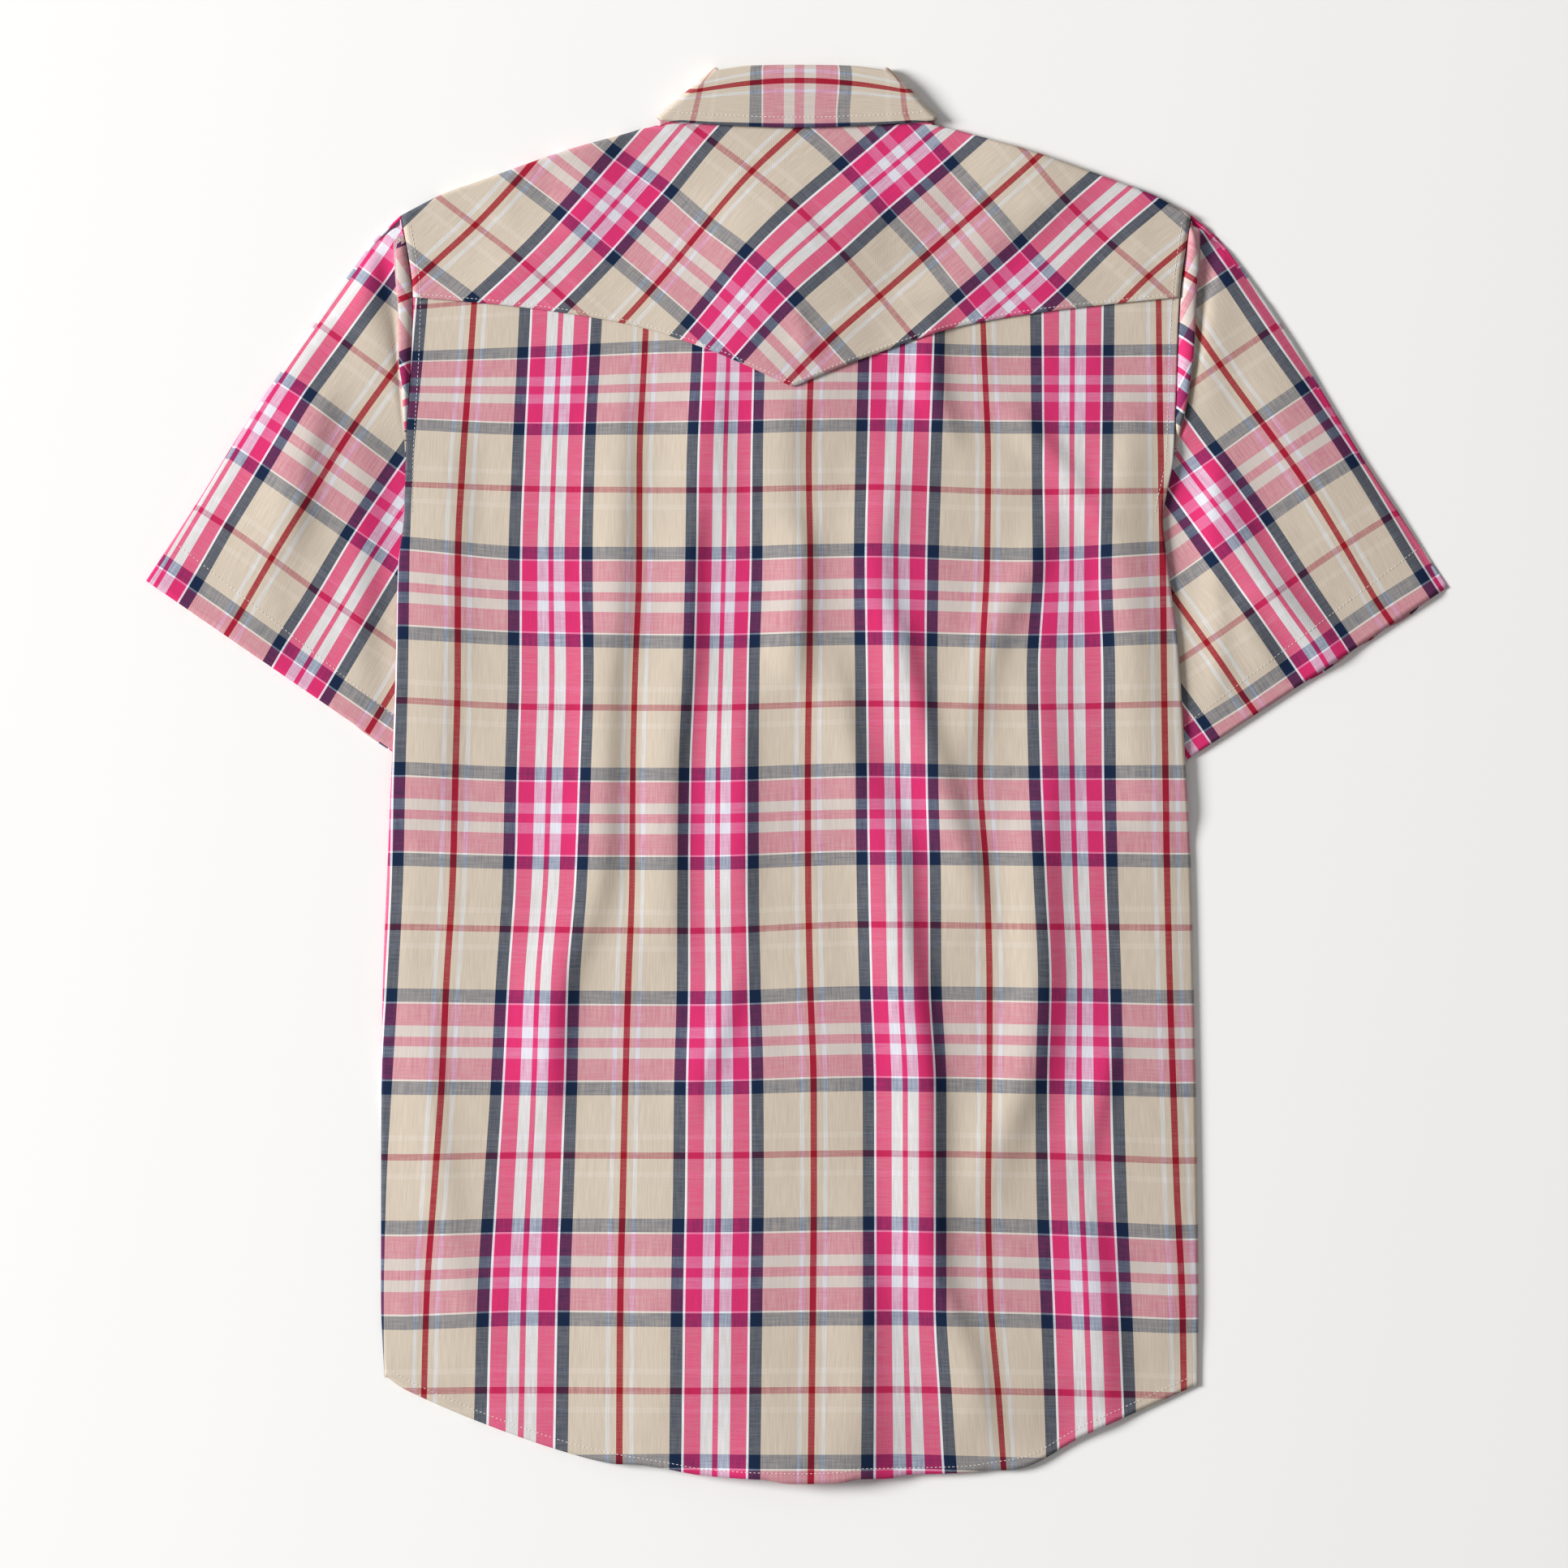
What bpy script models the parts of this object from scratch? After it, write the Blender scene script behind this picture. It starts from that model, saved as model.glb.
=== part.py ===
"""A short-sleeved western snap shirt, laid flat on its front with its back up.

Blender 4.5. Sizes are in millimetres and make_cloth turns them to metres.
+X is the right of the laid shirt, +Y runs to the collar, +Z is up. The origin is on
the ground under the middle of the shirt. Every cloth piece is the middle surface of
its cloth, worked out from the tables below and thickened to one closed wall.
"""
import math
from typing import NamedTuple

import bmesh
import bpy
import numpy as np

METRES = 0.001            # one millimetre
WALL = 1.2                # thickness of a cloth wall with its give
GAP = 0.3                 # space between two pieces
LAYER = WALL + GAP        # from the middle of one layer to the middle of the next
GROUND = WALL / 2         # middle of a layer that lies on the ground

# Body: the back layer over the fronts
LOFT = 3.6                # from the middle of the fronts to the middle of the back
CROWN = 1.8               # extra height of the back at its centre line
HALF_CHEST = 232.0
SIDE_FOLD = 1.8           # how far a side fold's bend reaches past its tangent
HEM_DROP = 0.55           # share of the loft that goes at the hem
HEM_SIDE_Y = -344.0       # where the hem meets the side edges
FRONT_HEM_INSET = 1.5     # the fronts' hem lies this far inside the back's

# Rows where pieces meet, along Y
UNDERARM_Y = 182.0        # foot of the armhole
YOKE_SIDE_Y = 274.0       # yoke seam at the armhole
SHOULDER_TIP_Y = 321.3    # shoulder seam at the armhole

# The sleeve's underarm edge is tucked under the body's side
TUCK_LIFT = 2 * LAYER
TUCK_SHARE = 0.6          # how much of that lift reaches the back layer

# Placket and snaps on the centre line of the fronts
PLACKET_HALF = 16.0
CAP_THICK = 1.5
CAP_RADIUS = 5.5
CAP_RIM = 0.6             # bevel round the face
CAP_PITCH = 88.0
CAP_TOP_Y = 268.0
CAP_COUNT = 7
STAND_CAP_Y = 302.0
PLACKET_LIFT = CAP_THICK + GAP
UNDERLAP = 12.0           # the right front passes the centre line by this much

# Yoke and shoulder
YOKE_OVERLAP = 8.0        # the back panel ends this far inside the yoke's edge
SHOULDER_WRAP = 12.0      # the yoke's run on the underside, past the shoulder fold
NECK_HALF = 76.0          # the neckline ends here and the shoulder fold starts
SHOULDER_EASE = 14.0      # past the neckline's end the fold comes in over this run

# Collar
FALL_EDGE_Z = 6.7         # middle of the fall at its outer edge, at the back
FALL_CREST_Z = 9.0        # and at its highest
FALL_ROLL_Z = 8.0         # and where it starts to roll over
STAND_SEAM_Z = 4.6        # middle of the stand and the yoke at the neck seam
STAND_TOP_Z = 5.5
FALL_FOLD = 2.6           # reach of the fall's side folds past their tangent
STAND_FOLD = 1.2
ROLL_REACH = 1.5          # how far the roll reaches past the stand's top edge
STAND_LAP = 13.0          # each end of the stand passes the centre line by this much
RIGHT_LEAN = 4.3          # the right side fold stands this much further out at its top
LEAN_ALONG = (376.0, 402.0)

# Sleeves
ARMHOLE_GAP = 0.45        # from the body's armhole edge to the sleeve's
SLEEVE_FOLD = 1.8
UNDERARM_FOLD = 0.75      # fold radius where the sleeve lies under the body
CAP_RIDGE = 1.5           # the sleeve's cloth laid back on itself beside the armhole
CAP_RIDGE_WIDTH = 8.0
CAP_DIP = 0.8             # and the hollow next to it
UNDERARM_WAY = (-0.82, -0.57)    # plan direction of the underarm fold, for the right sleeve

# Where a height starts to change and where it has changed in full, for ease()
TUCK_ACROSS = (48.0, 24.0)       # inside the side edge, over the tucked sleeve
TUCK_TOP = (206.0, 185.0)        # along Y
TUCK_FOOT = (-42.0, -18.0)
LEAF_ALONG = (205.0, 235.0)      # the fronts over the collar's leaves
LEAF_ACROSS = (130.0, 98.0)
CAPS_ACROSS = (45.0, 16.0)       # the fronts over the snap caps
RIGHT_LAP = (58.0, 20.0)         # the right front over the placket
STAND_CAPS = (40.0, 16.0)        # the stand over its cap
STAND_OVER = (44.0, 20.0)        # the stand's right end over its left one
HEM_ALONG = (50.0, 4.0)          # above the hem
HEM_CENTRE = (60.0, 20.0)        # the hem keeps its loft over the placket
FOLDS_INSIDE = (4.0, 30.0)       # inside the side edge, where the back's folds come in
NECK_ALONG = (318.0, 355.0)      # down to the neck seam
NECK_ACROSS = (130.0, 92.0)
YOKE_STEP = (38.0, 20.0)         # above the yoke's edge, on to the back panel
SIDE_SEAM = (UNDERARM_Y, 140.0)  # below the armhole, where the side fold comes in
SLEEVE_UNDER = (42.0, 5.0)       # outside the side edge, down to under the body
SLEEVE_UNDER_TOP = (206.0, 184.0)
RIDGE_STEP = (CAP_RIDGE_WIDTH + 3.0, CAP_RIDGE_WIDTH)
RIDGE_INNER = (1.5, 5.0)
RIDGE_TOP = (318.0, 300.0)
RIDGE_FOOT = (184.0, 206.0)
DIP_OUTER = (40.0, CAP_RIDGE_WIDTH + 3.0)
FOLD_START = (-0.15, 0.3)        # share of a fold's length, where it comes in
FOLD_END = (1.15, 0.7)


class Section(NamedTuple):
    """One level of the body: where its left and right edges are."""
    y: float
    left: float
    right: float


BODY = (
    Section(-350.0, -237.0, 230.4),
    Section(-300.0, -239.3, 230.4),
    Section(-210.0, -239.2, 229.4),
    Section(-125.0, -238.3, 227.8),
    Section(-50.0, -235.5, 226.0),
    Section(10.0, -232.7, 222.7),
    Section(70.0, -230.4, 219.0),
    Section(120.0, -229.2, 213.0),
    Section(146.0, -226.2, 209.9),
    Section(UNDERARM_Y, -225.1, 216.2),
    Section(YOKE_SIDE_Y, -221.0, 219.8),
    Section(SHOULDER_TIP_Y, -227.8, 226.2),
)


class EdgePoint(NamedTuple):
    """A point on an edge that runs across the body."""
    x: float
    y: float


HEM = (
    EdgePoint(-239.0, -344.0),
    EdgePoint(-230.8, -351.3),
    EdgePoint(-216.4, -358.7),
    EdgePoint(-180.9, -373.7),
    EdgePoint(-138.4, -388.6),
    EdgePoint(-89.4, -399.8),
    EdgePoint(-23.1, -407.3),
    EdgePoint(16.6, -407.6),
    EdgePoint(73.5, -405.9),
    EdgePoint(124.4, -399.8),
    EdgePoint(164.1, -381.1),
    EdgePoint(197.2, -366.2),
    EdgePoint(230.4, -351.3),
)
YOKE_EDGE = (
    EdgePoint(-221.0, YOKE_SIDE_Y),
    EdgePoint(-163.0, 268.6),
    EdgePoint(-98.7, 258.4),
    EdgePoint(-52.5, 243.9),
    EdgePoint(-2.6, 221.9),
    EdgePoint(36.2, 237.8),
    EdgePoint(97.8, 257.9),
    EdgePoint(148.2, 266.2),
    EdgePoint(219.8, YOKE_SIDE_Y),
)
SHOULDER = (
    EdgePoint(-227.8, SHOULDER_TIP_Y),
    EdgePoint(-202.8, 333.9),
    EdgePoint(-185.6, 339.9),
    EdgePoint(-129.5, 359.5),
    EdgePoint(-94.5, 369.2),
    EdgePoint(-80.0, 374.1),
    EdgePoint(80.0, 374.1),
    EdgePoint(94.5, 369.2),
    EdgePoint(129.5, 359.7),
    EdgePoint(185.6, 340.1),
    EdgePoint(202.8, 333.6),
    EdgePoint(226.2, SHOULDER_TIP_Y),
)
FRONT_NECK = (
    EdgePoint(0.0, 285.0),
    EdgePoint(16.5, 285.0),
    EdgePoint(45.0, 299.4),
    EdgePoint(72.5, 342.7),
    EdgePoint(NECK_HALF, 354.0),
)


class Fold(NamedTuple):
    """A soft ridge, or a trough where height is negative, from one end to the other."""
    x0: float
    y0: float
    x1: float
    y1: float
    width: float
    height: float


BACK_FOLDS = (
    Fold(-101.0, 215.0, -99.0, 0.0, 8.0, -2.2),
    Fold(-84.0, 80.0, -80.0, -125.0, 9.0, 2.2),
    Fold(-112.0, -40.0, -121.0, -95.0, 8.0, -1.8),
    Fold(-30.0, 210.0, -34.0, -115.0, 11.0, 1.4),
    Fold(-7.0, 205.0, -6.0, 140.0, 7.0, -0.6),
    Fold(46.0, 30.0, 48.0, -140.0, 11.0, 1.6),
    Fold(78.0, 245.0, 92.0, 222.0, 13.0, -1.6),
    Fold(84.0, 80.0, 86.0, 0.0, 8.0, -2.2),
    Fold(112.0, -15.0, 120.0, -118.0, 9.0, -2.2),
    Fold(106.0, 235.0, 108.0, 10.0, 11.0, 1.8),
    Fold(78.0, -165.0, 80.0, -280.0, 11.0, -2.6),
    Fold(106.0, -305.0, 114.0, -398.0, 11.0, -1.6),
    Fold(128.0, -170.0, 131.0, -225.0, 9.0, -1.8),
    Fold(150.0, -100.0, 146.0, -220.0, 12.0, 1.8),
    Fold(-125.0, -60.0, -132.0, -200.0, 12.0, 1.8),
    Fold(-180.0, 20.0, -186.0, -180.0, 14.0, 1.2),
    Fold(176.0, 120.0, 182.0, -60.0, 13.0, 1.4),
    Fold(-60.0, -190.0, -66.0, -330.0, 14.0, 1.6),
    Fold(22.0, -210.0, 24.0, -350.0, 13.0, 1.4),
)
LEFT_SLEEVE_FOLDS = (
    Fold(-240.0, 240.0, -262.0, 90.0, 10.0, 1.6),
    Fold(-262.0, 250.0, -318.0, 130.0, 11.0, 1.2),
    Fold(-244.0, 190.0, -250.0, 60.0, 8.0, -1.2),
)
RIGHT_SLEEVE_FOLDS = (
    Fold(236.0, 255.0, 262.0, 100.0, 10.0, 1.8),
    Fold(262.0, 235.0, 320.0, 110.0, 12.0, 1.2),
    Fold(240.0, 180.0, 250.0, 70.0, 8.0, -1.2),
)


class Bulge(NamedTuple):
    """How far a sleeve's top edge stands out from its straight chord."""
    along: float
    out: float


LEFT_BULGE = (
    Bulge(0.0, 0.0), Bulge(0.09, 4.1), Bulge(0.25, 4.8), Bulge(0.45, 5.1),
    Bulge(0.6, 4.1), Bulge(0.8, 1.5), Bulge(1.0, 0.0),
)
RIGHT_BULGE = (
    Bulge(0.0, 0.0), Bulge(0.09, 5.1), Bulge(0.25, 6.9), Bulge(0.36, 6.6),
    Bulge(0.5, 4.0), Bulge(0.7, 1.0), Bulge(1.0, 0.0),
)


class SleeveCut(NamedTuple):
    """The corners of one sleeve's outline, and its edge tables."""
    side: int                 # -1 left, +1 right
    shoulder: tuple
    underarm: tuple
    hem_top: tuple
    hem_under: tuple
    bulge: tuple
    folds: tuple


SLEEVES = {
    "sleeve_left": SleeveCut(-1, (-227.8, SHOULDER_TIP_Y), (-211.0, 170.0), (-374.6, 110.9),
                             (-214.5, 0.7), LEFT_BULGE, LEFT_SLEEVE_FOLDS),
    "sleeve_right": SleeveCut(1, (226.2, SHOULDER_TIP_Y), (200.0, 170.0), (374.6, 107.6),
                              (208.0, -2.6), RIGHT_BULGE, RIGHT_SLEEVE_FOLDS),
}


class Station(NamedTuple):
    """One crosswise line of the collar, from its neck side to its outer side."""
    name: str
    neck: tuple               # the stand's seam with the neckline
    top: tuple                # the stand's top edge
    roll: tuple               # the fall's inner edge, under the roll
    edge: tuple               # the fall's outer edge


# Right half of the collar, from the centre of the back to the fold and on to the front
COLLAR_BACK = (
    Station("centre back", (0.0, 374.6), (0.0, 405.1), (0.0, 405.6), (0.0, 371.3)),
    Station("mid back", (39.0, 375.4), (27.2, 404.8), (27.0, 405.3), (42.0, 372.7)),
    Station("at the fold", (75.0, 375.2), (46.8, 402.7), (46.5, 403.3), (79.0, 375.6)),
)
COLLAR_FRONT = (
    Station("at the fold", (75.0, 375.2), (46.8, 402.7), (46.5, 403.3), (79.0, 375.6)),
    Station("upper front", (72.5, 343.0), (41.5, 379.5), (41.0, 380.0), (84.0, 338.0)),
    Station("lower front", (45.0, 299.7), (27.4, 345.3), (27.0, 346.0), (74.0, 290.0)),
    Station("placket edge", (16.5, 285.3), (13.8, 321.0), (13.0, 325.0), (58.0, 256.0)),
    Station("front end", (1.0, 285.3), (1.0, 315.5), (3.0, 320.0), (46.0, 240.0)),
)

PLAID = (0.66, 0.50, 0.48, 1.0)
PLAID_DARK = (0.58, 0.42, 0.44, 1.0)
PEARL = (0.86, 0.83, 0.78, 1.0)


def ease(at, start, end):
    """A smooth step: 0 at start, 1 at end, whichever of the two is larger."""
    share = min(max((at - start) / (end - start), 0.0), 1.0)
    return share * share * (3.0 - 2.0 * share)


def read_table(table, key, at, name):
    """The value of one column where another column has the value at."""
    return float(np.interp(at, [getattr(row, key) for row in table],
                           [getattr(row, name) for row in table]))


def blend(first, second, share):
    """The point that lies share of the way from one point to the other."""
    return tuple(a + (b - a) * share for a, b in zip(first, second))


def fold_height(folds, x, y):
    """Height that the soft folds add at a place."""
    height = 0.0
    for fold in folds:
        run = (fold.x1 - fold.x0, fold.y1 - fold.y0)
        length = math.hypot(*run)
        along = ((x - fold.x0) * run[0] + (y - fold.y0) * run[1]) / length ** 2
        off = ((x - fold.x0) * run[1] - (y - fold.y0) * run[0]) / length
        ends = ease(along, *FOLD_START) * ease(along, *FOLD_END)
        height += fold.height * ends * math.exp(-(off / fold.width) ** 2)
    return height


def side_edge(side, y):
    """X of the body's left or right edge."""
    return read_table(BODY, "y", y, "left" if side < 0 else "right")


def inside_edge(x, y):
    """How far a place is inside the nearer side edge of the body."""
    return min(x - side_edge(-1, y), side_edge(1, y) - x)


def tuck_lift(x, y):
    """How far the body is lifted by the sleeve that is tucked under its side."""
    across = ease(inside_edge(x, y), *TUCK_ACROSS)
    return TUCK_LIFT * across * ease(y, *TUCK_TOP) * ease(y, *TUCK_FOOT)


def leaf_lift(x, y):
    """How far the fronts are lifted by the collar's leaves under them."""
    return LAYER * ease(y, *LEAF_ALONG) * ease(abs(x), *LEAF_ACROSS)


def placket_lift(x):
    """How far the left front and the placket are lifted by the snap caps."""
    return PLACKET_LIFT * ease(abs(x), *CAPS_ACROSS)


def front_height(x, y):
    """Middle of the left front, and of the right front away from the placket."""
    return GROUND + tuck_lift(x, y) + max(leaf_lift(x, y), placket_lift(x))


def hem_nearness(x, y):
    """1 at the hem, 0 well above it."""
    return ease(y - read_table(HEM, "x", x, "y"), *HEM_ALONG)


def back_height(x, y):
    """Middle of the back layer."""
    beside = 1.0 - ease(abs(x), *HEM_CENTRE)
    loft = LOFT + CROWN * (1.0 - (x / HALF_CHEST) ** 2)
    loft *= 1.0 - HEM_DROP * hem_nearness(x, y) * beside
    folds = fold_height(BACK_FOLDS, x, y) * ease(inside_edge(x, y), *FOLDS_INSIDE)
    lift = TUCK_SHARE * tuck_lift(x, y)
    neck = ease(y, *NECK_ALONG) * ease(abs(x), *NECK_ACROSS)
    return (GROUND + loft + lift + folds) * (1.0 - neck) + STAND_SEAM_Z * neck


def yoke_height(x, y):
    """Middle of the yoke, which lies on the back panel along its lower edge."""
    above = y - read_table(YOKE_EDGE, "x", x, "y")
    return back_height(x, y) + LAYER * ease(above, *YOKE_STEP)


def add_bend(turn, reach):
    """Offset past the tangent and height share of a half-round fold, turn from 0 to 1."""
    angle = math.pi * turn
    return reach * math.sin(angle), (1.0 + math.cos(angle)) / 2.0


# ---------------------------------------------------------------- meshes

def make_cloth(name, colour, columns, rows, place, closed=False):
    """One cloth piece: a grid laid out by place(column, row), then given its wall."""
    shape = bmesh.new()
    bmesh.ops.create_grid(shape, x_segments=columns, y_segments=rows, size=0.5)
    for vertex in shape.verts:
        column = round((vertex.co.x + 0.5) * columns)
        row = round((vertex.co.y + 0.5) * rows)
        vertex.co = [value * METRES for value in place(column, row)]
    if closed:
        bmesh.ops.remove_doubles(shape, verts=shape.verts[:], dist=0.01 * METRES)
    piece = add_object(name, shape, colour, 0.9)
    wall = piece.modifiers.new("wall", "SOLIDIFY")
    wall.thickness = WALL * METRES
    wall.offset = 0.0
    wall.use_even_offset = True
    return piece


def add_object(name, shape, colour, roughness):
    """Make a named object with its own material from a bmesh."""
    mesh = bpy.data.meshes.new(name)
    shape.to_mesh(mesh)
    shape.free()
    mesh.shade_smooth()
    material = bpy.data.materials.new(name)
    material.use_nodes = True
    surface = material.node_tree.nodes["Principled BSDF"]
    surface.inputs["Base Color"].default_value = colour
    surface.inputs["Roughness"].default_value = roughness
    surface.inputs["Metallic"].default_value = 0.0
    mesh.materials.append(material)
    piece = bpy.data.objects.new(name, mesh)
    bpy.context.scene.collection.objects.link(piece)
    return piece


def spread(start, end, count):
    """Evenly spaced values from start to end, both included."""
    return [start + (end - start) * step / count for step in range(count + 1)]


# ---------------------------------------------------------------- body

SIDE_TURNS = (0.0, 0.25, 0.5, 0.75, 1.0)          # steps round a side fold
BODY_COLUMNS = 32                                  # across the flat of the back
BACK_ROWS = (spread(HEM_SIDE_Y, -316.0, 2) + spread(-290.0, 130.0, 15)
             + [146.0, 164.0, UNDERARM_Y] + spread(205.0, YOKE_SIDE_Y, 3)
             + [YOKE_SIDE_Y + YOKE_OVERLAP])


def body_row(row_y, x, hem_inset, top_y, top_of_rows):
    """Y of a crosswise row at x: straight at the underarm, following hem and top."""
    if row_y < UNDERARM_Y:
        share = (UNDERARM_Y - row_y) / (UNDERARM_Y - HEM_SIDE_Y)
        drop = read_table(HEM, "x", x, "y") - HEM_SIDE_Y + hem_inset
        return row_y + drop * share
    share = (row_y - UNDERARM_Y) / (top_of_rows - UNDERARM_Y)
    return row_y + (top_y - top_of_rows) * share


def place_back(column, row):
    """A point of the back panel: its flat, and at each side the fold to the seam."""
    last = len(SIDE_TURNS) - 1
    flat = column - last
    row_y = BACK_ROWS[row]
    folded = ease(row_y, *SIDE_SEAM)
    reach = SIDE_FOLD * folded
    if 0 <= flat <= BODY_COLUMNS:
        side, turn, across = 0, 0.0, flat / BODY_COLUMNS
    elif flat < 0:
        side, turn, across = -1, SIDE_TURNS[-flat], 0.0
    else:
        side, turn, across = 1, SIDE_TURNS[flat - BODY_COLUMNS], 1.0
    rim = (1.0 - folded) * math.pi * SIDE_FOLD
    left = side_edge(-1, row_y) + reach + rim
    right = side_edge(1, row_y) - reach - rim
    x = left + (right - left) * across
    top_y = read_table(YOKE_EDGE, "x", x, "y") + YOKE_OVERLAP
    y = body_row(row_y, x, 0.0, top_y, BACK_ROWS[-1])
    top = back_height(x, y)
    bottom = front_height(x, y)
    past, high = add_bend(turn * folded, reach)
    x += side * (past + rim * turn)
    if row_y > YOKE_SIDE_Y:
        x -= side * GAP
    return x, y, bottom + (top - bottom) * high


def add_back():
    """The back panel, from the hem to just under the yoke's edge."""
    columns = BODY_COLUMNS + 2 * (len(SIDE_TURNS) - 1)
    make_cloth("back", PLAID, columns, len(BACK_ROWS) - 1, place_back)


WRAP_STEPS = 2                                     # rows on the underside of the shoulder
NECK_MARGIN = 1.6                                  # these rows' run along the neckline
SHOULDER_STEPS = 4                                 # steps round the shoulder fold
YOKE_FLAT_ROWS = 8
YOKE_X = tuple(sorted(spread(0.0, 39.0, 3) + spread(51.0, 75.0, 2) + [85.0, 112.0, 157.5]
                      + [row.x for row in SHOULDER if 80.0 < row.x]))


def shoulder_share(x):
    """0 along the neckline, 1 where the yoke turns fully over the shoulder."""
    return ease(abs(x), NECK_HALF, NECK_HALF + SHOULDER_EASE)


def neckline_y(x):
    """Y of the yoke's neckline at the back, just under the stand's lower edge."""
    seam = [station.neck for station in COLLAR_BACK]
    return float(np.interp(abs(x), [x for x, y in seam], [y for x, y in seam])) - GAP


def shoulder_turn(x):
    """Reach and tangent Y of the shoulder fold, or of the neckline where there is none."""
    share = shoulder_share(x)
    reach = SIDE_FOLD * share
    fold_y = read_table(SHOULDER, "x", x, "y") - reach
    if abs(x) < NECK_HALF:
        return 0.0, 0.0, neckline_y(x)
    return share, reach, fold_y


def yoke_x(column):
    """X of a yoke column at the shoulder: steps each way from the centre to the tips."""
    half = len(YOKE_X) - 1
    if column == 0:
        return SHOULDER[0].x
    return math.copysign(YOKE_X[abs(column - half)], column - half)


def yoke_side_x(level, across):
    """X at a share of the way between the armhole edges at one level."""
    left = side_edge(-1, level)
    return left + (side_edge(1, level) - left) * across


def place_yoke(column, row):
    """A point of the yoke: its flat, the shoulder fold and the run on the underside."""
    x_top = yoke_x(column)
    left, right = SHOULDER[0].x, SHOULDER[-1].x
    across = (x_top - left) / (right - left)
    share, reach, fold_y = shoulder_turn(x_top)
    unturned = 1.0 - share
    rim = unturned * math.pi * SIDE_FOLD
    top_y = fold_y - rim - NECK_MARGIN * unturned
    climb = min(row / YOKE_FLAT_ROWS, 1.0)
    tip_y = SHOULDER_TIP_Y - SIDE_FOLD
    x = yoke_side_x(YOKE_SIDE_Y + (tip_y - YOKE_SIDE_Y) * climb, across)
    edge_y = read_table(YOKE_EDGE, "x", x, "y")
    y = edge_y + (top_y - edge_y) * climb
    top = yoke_height(x, y)
    if row <= YOKE_FLAT_ROWS:
        return x, y, top
    bottom = front_height(x, y)
    turn = min((row - YOKE_FLAT_ROWS) / SHOULDER_STEPS, 1.0)
    past, high = add_bend(turn * share, reach)
    y += past + rim * turn
    under = (row - YOKE_FLAT_ROWS - SHOULDER_STEPS) / WRAP_STEPS
    if under > 0.0:
        x = yoke_side_x(tip_y - SHOULDER_WRAP * under * share, across)
        fold_y = shoulder_turn(x)[2] if share == 1.0 else fold_y
        y = fold_y + (NECK_MARGIN * unturned * (under - 1.0)) - SHOULDER_WRAP * under * share
    return x, y, bottom + (top - bottom) * high


def add_yoke():
    """The pointed yoke, over the back's top edge and round the shoulders."""
    rows = YOKE_FLAT_ROWS + SHOULDER_STEPS + WRAP_STEPS
    make_cloth("back_yoke", PLAID_DARK, 2 * (len(YOKE_X) - 1), rows, place_yoke)


FRONT_ROWS = (spread(-342.0, -290.0, 2) + [-235.0, -180.0, -125.0, -75.0, -34.0, -10.0, 40.0, 90.0]
              + [130.0, 146.0, 164.0, UNDERARM_Y, 205.0, 240.0, YOKE_SIDE_Y, 308.0])
FRONT_X = (16.5, 30.0, 45.0, 58.0, 72.5, NECK_HALF, 95.0, 125.0, 160.0, 188.0, 204.0)


def front_top(x):
    """Y of a front's top edge: the neckline, then the seam with the yoke."""
    seam_y = read_table(SHOULDER, "x", x, "y") - SIDE_FOLD - SHOULDER_WRAP - GAP
    if abs(x) < NECK_HALF:
        return min(read_table(FRONT_NECK, "x", abs(x), "y"), seam_y)
    return seam_y


def place_front(side, inner, columns):
    """Placing function of a front between X inner and the side, by its columns' X at the top."""
    top_run = side_edge(side, FRONT_ROWS[-1]) - inner

    def place(column, row):
        row_y = FRONT_ROWS[row]
        seam = ease(row_y, *SIDE_SEAM) * (SIDE_FOLD + 2.0 * GAP)
        outer = side_edge(side, row_y) - side * seam
        share = 1.0 if column == len(columns) else (side * columns[column] - inner) / top_run
        x = inner + (outer - inner) * share
        y = body_row(row_y, x, FRONT_HEM_INSET, front_top(x), FRONT_ROWS[-1])
        height = front_height(x, y)
        if side > 0:
            height += LAYER * ease(x, *RIGHT_LAP)
        return x, y, height
    return place


def add_fronts():
    """Both fronts: the left ends at the placket, the right passes over it."""
    rows = len(FRONT_ROWS) - 1
    left_x = (PLACKET_HALF + GAP,) + FRONT_X[1:]
    right_x = (-UNDERLAP, 2.0) + FRONT_X
    left = place_front(-1, -left_x[0], left_x)
    right = place_front(1, right_x[0], right_x)
    make_cloth("front_left", PLAID, len(left_x), rows, left)
    make_cloth("front_right", PLAID, len(right_x), rows, right)


PLACKET_ROWS = 20


def place_placket(column, row):
    """A point of the placket, the band under the centre of the fronts."""
    x = -PLACKET_HALF + 2.0 * PLACKET_HALF * column / 2
    low = read_table(HEM, "x", x, "y") + FRONT_HEM_INSET
    high = front_top(x)
    y = low + (high - low) * row / PLACKET_ROWS
    return x, y, GROUND + PLACKET_LIFT


def add_placket():
    """The placket and the snap caps under it."""
    make_cloth("placket", PLAID_DARK, 2, PLACKET_ROWS, place_placket)
    levels = [STAND_CAP_Y] + [CAP_TOP_Y - CAP_PITCH * step for step in range(CAP_COUNT)]
    for number, y in enumerate(levels, start=1):
        add_cap(f"snap_{number}", y)


def add_cap(name, y):
    """One snap cap: a disc with a worked rim, its face on the ground."""
    shape = bmesh.new()
    bmesh.ops.create_cone(shape, cap_ends=True, segments=16, radius1=CAP_RADIUS,
                          radius2=CAP_RADIUS, depth=CAP_THICK)
    rim = [edge for edge in shape.edges if all(v.co.z < 0.0 for v in edge.verts)]
    bmesh.ops.bevel(shape, geom=rim, offset=CAP_RIM, offset_type="OFFSET", segments=1,
                    profile=0.5, affect="EDGES", material=-1)
    for vertex in shape.verts:
        x, side_y, z = vertex.co
        vertex.co = (x * METRES, (y + side_y) * METRES, (z + CAP_THICK / 2) * METRES)
    add_object(name, shape, PEARL, 0.3)


# ---------------------------------------------------------------- sleeves

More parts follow.
